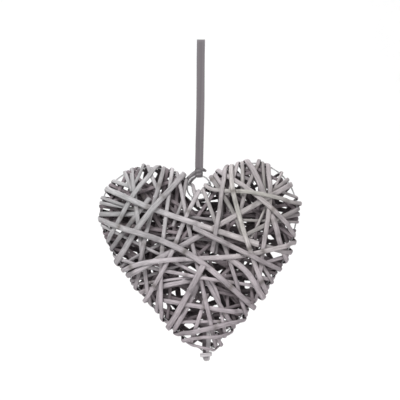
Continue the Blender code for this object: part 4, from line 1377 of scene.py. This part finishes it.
def ribbon_loop():
    """The loop's grid: round the fold, down the front, round the ring and up the back, closed on itself."""
    ring_x, ring_z = picture_point(*RING_AT)
    grip = knot_reach()
    sag = RING_RADIUS - math.sqrt(RING_RADIUS ** 2 - (RIBBON_GATHER / 2) ** 2)
    low = ring_z + RING_RADIUS - sag
    knot_top = picture_point(*KNOT_TOP)[1]
    bow = RIBBON_FOLD + RIBBON_THICKNESS / 2
    turn = np.radians(np.linspace(0, 180, FOLD_POINTS))
    top = np.stack([-bow * np.cos(turn), bow * np.sin(turn) - RIBBON_FOLD], axis=1)
    bottom = np.stack([grip * np.cos(turn), low - grip * np.sin(turn)], axis=1)
    leg = np.array([[grip, knot_top + RIBBON_WIDTH / 2], [grip, knot_top + CLEARANCE]])
    loop = respaced(np.vstack([top, leg, bottom, leg[::-1] * [-1, 1], top[:1]]), RIBBON_STEP)
    led = np.vstack([loop[-SEAM_LEAD:-1], loop, loop[1:SEAM_LEAD]])
    loop = averaged(led, RIBBON_SOFTEN, RIBBON_STEP)[SEAM_LEAD - 1:-SEAM_LEAD]
    along = unit(np.roll(loop, -1, axis=0) - np.roll(loop, 1, axis=0))
    normals = np.stack([0 * along[:, 0], -along[:, 1], along[:, 0]], axis=1)
    share = np.clip(loop[:, 1] / low, 0, 1)
    wave = RIBBON_WAVE * np.sin(share * WAVE_TURN) * np.sin(share * math.pi)
    sway = RIBBON_SWAY * np.sin(share * math.pi) ** 3
    line = np.stack([share * ring_x + sway, loop[:, 0] + wave, loop[:, 1]], axis=1)
    free = smooth_share((loop[:, 1] - knot_top) / GATHER_LENGTH)
    width = RIBBON_GATHER + (RIBBON_WIDTH - RIBBON_GATHER) * free
    grid = ribbon_grid(line, normals, width, GATHER_CURL * (1 - free))
    return np.concatenate([grid, grid[:1]])[::-1], length_along(np.vstack([line, line[:1]]))


def satin_group():
    """Satin as a node group: faint bands along it, lighter and darker strips across it with painted shade
    along a middle crease, and cross threads.

    Along is the length in metres and the width from 0 to 1. The colour runs from Shade to Satin.
    """
    group, taken, given = new_group(
        "satin_weave",
        {"Along": "NodeSocketVector", "Satin": "NodeSocketColor", "Shade": "NodeSocketColor"},
        {"Color": "NodeSocketColor", "Roughness": "NodeSocketFloat", "Height": "NodeSocketFloat"})
    links = group.links
    bands = ranged(group, streaked(group, taken.outputs["Along"], SATIN_BANDS, 3), 0, 1, 0.32, 0.62)
    split = group.nodes.new("ShaderNodeSeparateXYZ")
    # The strips across it: darker selvedges at the edges, and painted shade of a crease near the middle
    across = group.nodes.new("ShaderNodeValToRGB")
    for end, light in zip(across.color_ramp.elements, SATIN_EDGES):
        end.color = (light, light, light, 1)
    for place, light in SATIN_ACROSS:
        across.color_ramp.elements.new(place).color = (light, light, light, 1)
    links.new(taken.outputs["Along"], split.inputs["Vector"])
    links.new(split.outputs["Y"], across.inputs["Fac"])
    colour = group.nodes.new("ShaderNodeMix")
    colour.data_type = "RGBA"
    links.new(worked(group, "MULTIPLY", bands, across.outputs["Color"]), colour.inputs["Factor"])
    links.new(taken.outputs["Shade"], colour.inputs["A"])
    links.new(taken.outputs["Satin"], colour.inputs["B"])
    threads = streaked(group, taken.outputs["Along"], SATIN_THREADS, 1)
    links.new(colour.outputs["Result"], given.inputs["Color"])
    links.new(ranged(group, threads, 0.38, 0.55), given.inputs["Roughness"])
    links.new(threads, given.inputs["Height"])
    return group


satin_weave = satin_group()


def satin_finish(name, satin, shade):
    """Polyester satin in one colour, with the sheen and the fine cross threads of ribbon."""
    finish, nodes, links, shader = new_finish(name)
    shader.inputs["Sheen Weight"].default_value = 0.25
    shader.inputs["Sheen Roughness"].default_value = 0.4
    shader.inputs["Specular IOR Level"].default_value = 0.45
    cloth = nodes.new("ShaderNodeUVMap")
    cloth.uv_map = "lay"
    weave = nodes.new("ShaderNodeGroup")
    weave.node_tree = satin_weave
    weave.inputs["Satin"].default_value = (*satin, 1)
    weave.inputs["Shade"].default_value = (*shade, 1)
    links.new(cloth.outputs["UV"], weave.inputs["Along"])
    links.new(weave.outputs["Color"], shader.inputs["Base Color"])
    links.new(weave.outputs["Roughness"], shader.inputs["Roughness"])
    bump_from(nodes, links, shader, weave.outputs["Height"], 0.35, 0.00012)
    return finish


def cloth_places(length):
    """Texture places on a ribbon's two faces: the length in metres, and 0 to 1 across and back again."""
    face = np.linspace(0, 1, RIBBON_COLUMNS)
    across = np.concatenate([face, face[::-1], [0]])
    return np.stack(np.broadcast_arrays(length[:, None], across), axis=-1)


grey_satin = satin_finish("grey_satin", SATIN, SATIN_SHADE)
loop_grid, loop_length = ribbon_loop()
loop_mesh = surface_mesh("ribbon_loop_fine", loop_grid, True, False, cloth_places(loop_length))
ribbon = place_piece("ribbon_loop_fine", seam_joined(loop_mesh, SEAM_REACH),
                     grey_satin, RIBBON_SHARP, "ribbon_loop")


# The knot
# The ribbon's two ends are wound round both legs over the ring and tied. One cut end stands out to the
# right as a short point. The other is led down behind the ring and tucked in at the left lobe.
KNOT_WALL = 0.0012
KNOT_ROUND = 72
KNOT_ROWS = 40
KNOT_CORNER = 0.55
KNOT_BELLY = 0.16
KNOT_PLEATS = 2.3
PLEAT_DEPTH = 0.0003
PLEAT_SLANT = 0.325
EDGE_WAVE = 0.0005
LID_STEPS = 6
LID_HOLE = 0.15
BASE_HOLLOW = 0.0010
KNOT_CLOTH = 0.020
TAIL_AT = (202, 170)
TAIL_WIDTH = 0.0060
TAIL_POINT = 0.0024
TAIL_CLOTH = 0.008
TAIL_CURL = 0.0006
STRAP_END = (188.0, 181.2)
STRAP_BENDS = (174.6, 177.8)
STRAP_WIDTH = 0.0090
STRAP_NARROW = 0.88
STRAP_CLOTH = 0.020
STRAP_CURL = 0.0012
STRAP_STEP = 0.0006
# Painted shade: the knot, the tail and the strap take a darker copy of the ribbon's satin for the shade in
# and around the knot
KNOT_SHADED_SATIN = (0.150, 0.138, 0.145)
KNOT_SHADE = (0.100, 0.091, 0.096)

# The tail's middle line, from its root on the knot's front: to the right, back and up
TAIL_STATIONS = [(-0.0020, 0.0004, 0.0006), (0.0012, -0.0002, 0.0002),
                 (0.0032, 0.0010, -0.0005), (0.0053, 0.0018, -0.0013)]


def knot_grid():
    """The wrap: a rounded box on end whose wall is drawn in at slanting pleats, with a wavy lower edge.

    The wall narrows below by 1 - KNOT_BELLY * down^7, and a pleat is a sine of down and of the angle.
    """
    ring_x, _ = picture_point(*RING_AT)
    top = picture_point(*KNOT_TOP)[1]
    low = picture_point(*KNOT_LOW)[1]
    half_x = RIBBON_GATHER / 2 + CLEARANCE + KNOT_WALL
    half_y = knot_reach() + RIBBON_THICKNESS / 2 + CLEARANCE + KNOT_WALL
    angle = np.linspace(0, 2 * math.pi, KNOT_ROUND, endpoint=False)
    wide, deep = boxed(angle, KNOT_CORNER)
    down = np.linspace(0, 1, KNOT_ROWS)[:, None]
    pleat = 1 + np.sin((down * KNOT_PLEATS + PLEAT_SLANT * np.cos(angle)) * 2 * math.pi)
    belly = 1 - KNOT_BELLY * down ** 7
    grid = np.empty((KNOT_ROWS, KNOT_ROUND, 3))
    grid[..., 0] = ring_x + wide * (half_x * belly ** 0.4 - PLEAT_DEPTH / 2 * pleat)
    grid[..., 1] = deep * (half_y * belly - PLEAT_DEPTH * pleat)
    grid[..., 2] = top + (low - top) * down + EDGE_WAVE * np.cos(3 * angle + 0.6) * down ** 3
    shrink = np.linspace(LID_HOLE, 1, LID_STEPS)[:, None, None]
    middle = np.array([ring_x, 0, 0])
    lid = middle + (grid[:1] - middle) * [1, 1, 0] * shrink + grid[:1] * [0, 0, 1]
    base = middle + (grid[-1:] - middle) * [1, 1, 0] * shrink[::-1] + grid[-1:] * [0, 0, 1]
    base[..., 2] += BASE_HOLLOW * (1 - shrink[::-1, :, 0])
    return np.concatenate([lid[:-1], grid, base[1:]])


def end_piece(name, stations, width, curl, cloth):
    """A flat end of ribbon through stations (x, y, z), its edges turned to the back by curl * across^2."""
    line = smooth_line(stations, STRAP_STEP)
    side = unit(np.cross(unit(np.gradient(line, axis=0)), [0, 1.0, 0]))
    share = np.linspace(-1, 1, RIBBON_COLUMNS)
    half = np.interp(np.linspace(0, 1, len(line)), [0, 1], width)[:, None] / 2
    face = (line[:, None] + side[:, None] * (half * share)[..., None]
            + (curl * share ** 2)[None, :, None] * [0, 1, 0])
    shell = RIBBON_CLOTH / 2 * np.array([0, 1, 0])
    grid = np.concatenate([face - shell, (face + shell)[:, ::-1]], axis=1)
    mesh = surface_mesh(name, grid, True, True, cloth_places(np.linspace(0, cloth, len(line))))
    return place_piece(name, mesh, shaded_knot_finish, RIBBON_SHARP)


# A darker copy of the satin, painted shade for the knot and its ends
shaded_knot_finish = satin_finish("shaded_knot_satin", KNOT_SHADED_SATIN, KNOT_SHADE)
wrap = knot_grid()
wrap_places = lay_places(np.linspace(0, KNOT_CLOTH, len(wrap)), KNOT_ROUND)
knot = place_piece("ribbon_knot_fine", surface_mesh("ribbon_knot_fine", wrap, True, True, wrap_places),
                   shaded_knot_finish, RIBBON_SHARP, "ribbon_knot")

# The tail comes out of the knot's front and bends back round its right side
ring_x, _ = picture_point(*RING_AT)
knot_front = -(knot_reach() + RIBBON_THICKNESS / 2 + CLEARANCE + KNOT_WALL)
tail_x, tail_z = picture_point(*TAIL_AT)
tail_line = np.array([tail_x, knot_front, tail_z]) + TAIL_STATIONS
tail = end_piece("ribbon_tail", tail_line, (TAIL_WIDTH, TAIL_POINT), TAIL_CURL, TAIL_CLOTH)

# The other end leaves the knot's back and slopes down to the left lobe
strap_x, strap_z = picture_point(*STRAP_END)
strap_y = -knot_front - 0.0006
strap_top = (picture_point(*KNOT_TOP)[1] + picture_point(*KNOT_LOW)[1]) / 2 + 0.0012
strap_bends = [picture_point(0, bend)[1] for bend in STRAP_BENDS]
strap_line = [(ring_x - 0.001, strap_y, strap_top),
              (ring_x - 0.0055, strap_y - 0.0004, strap_bends[0]),
              ((ring_x + strap_x) / 2 - 0.003, strap_y - 0.0008, strap_bends[1]),
              (strap_x, strap_y - 0.0004, strap_z)]
strap_widths = (STRAP_WIDTH * STRAP_NARROW, STRAP_WIDTH)
strap = end_piece("ribbon_strap", strap_line, strap_widths, STRAP_CURL, STRAP_CLOTH)
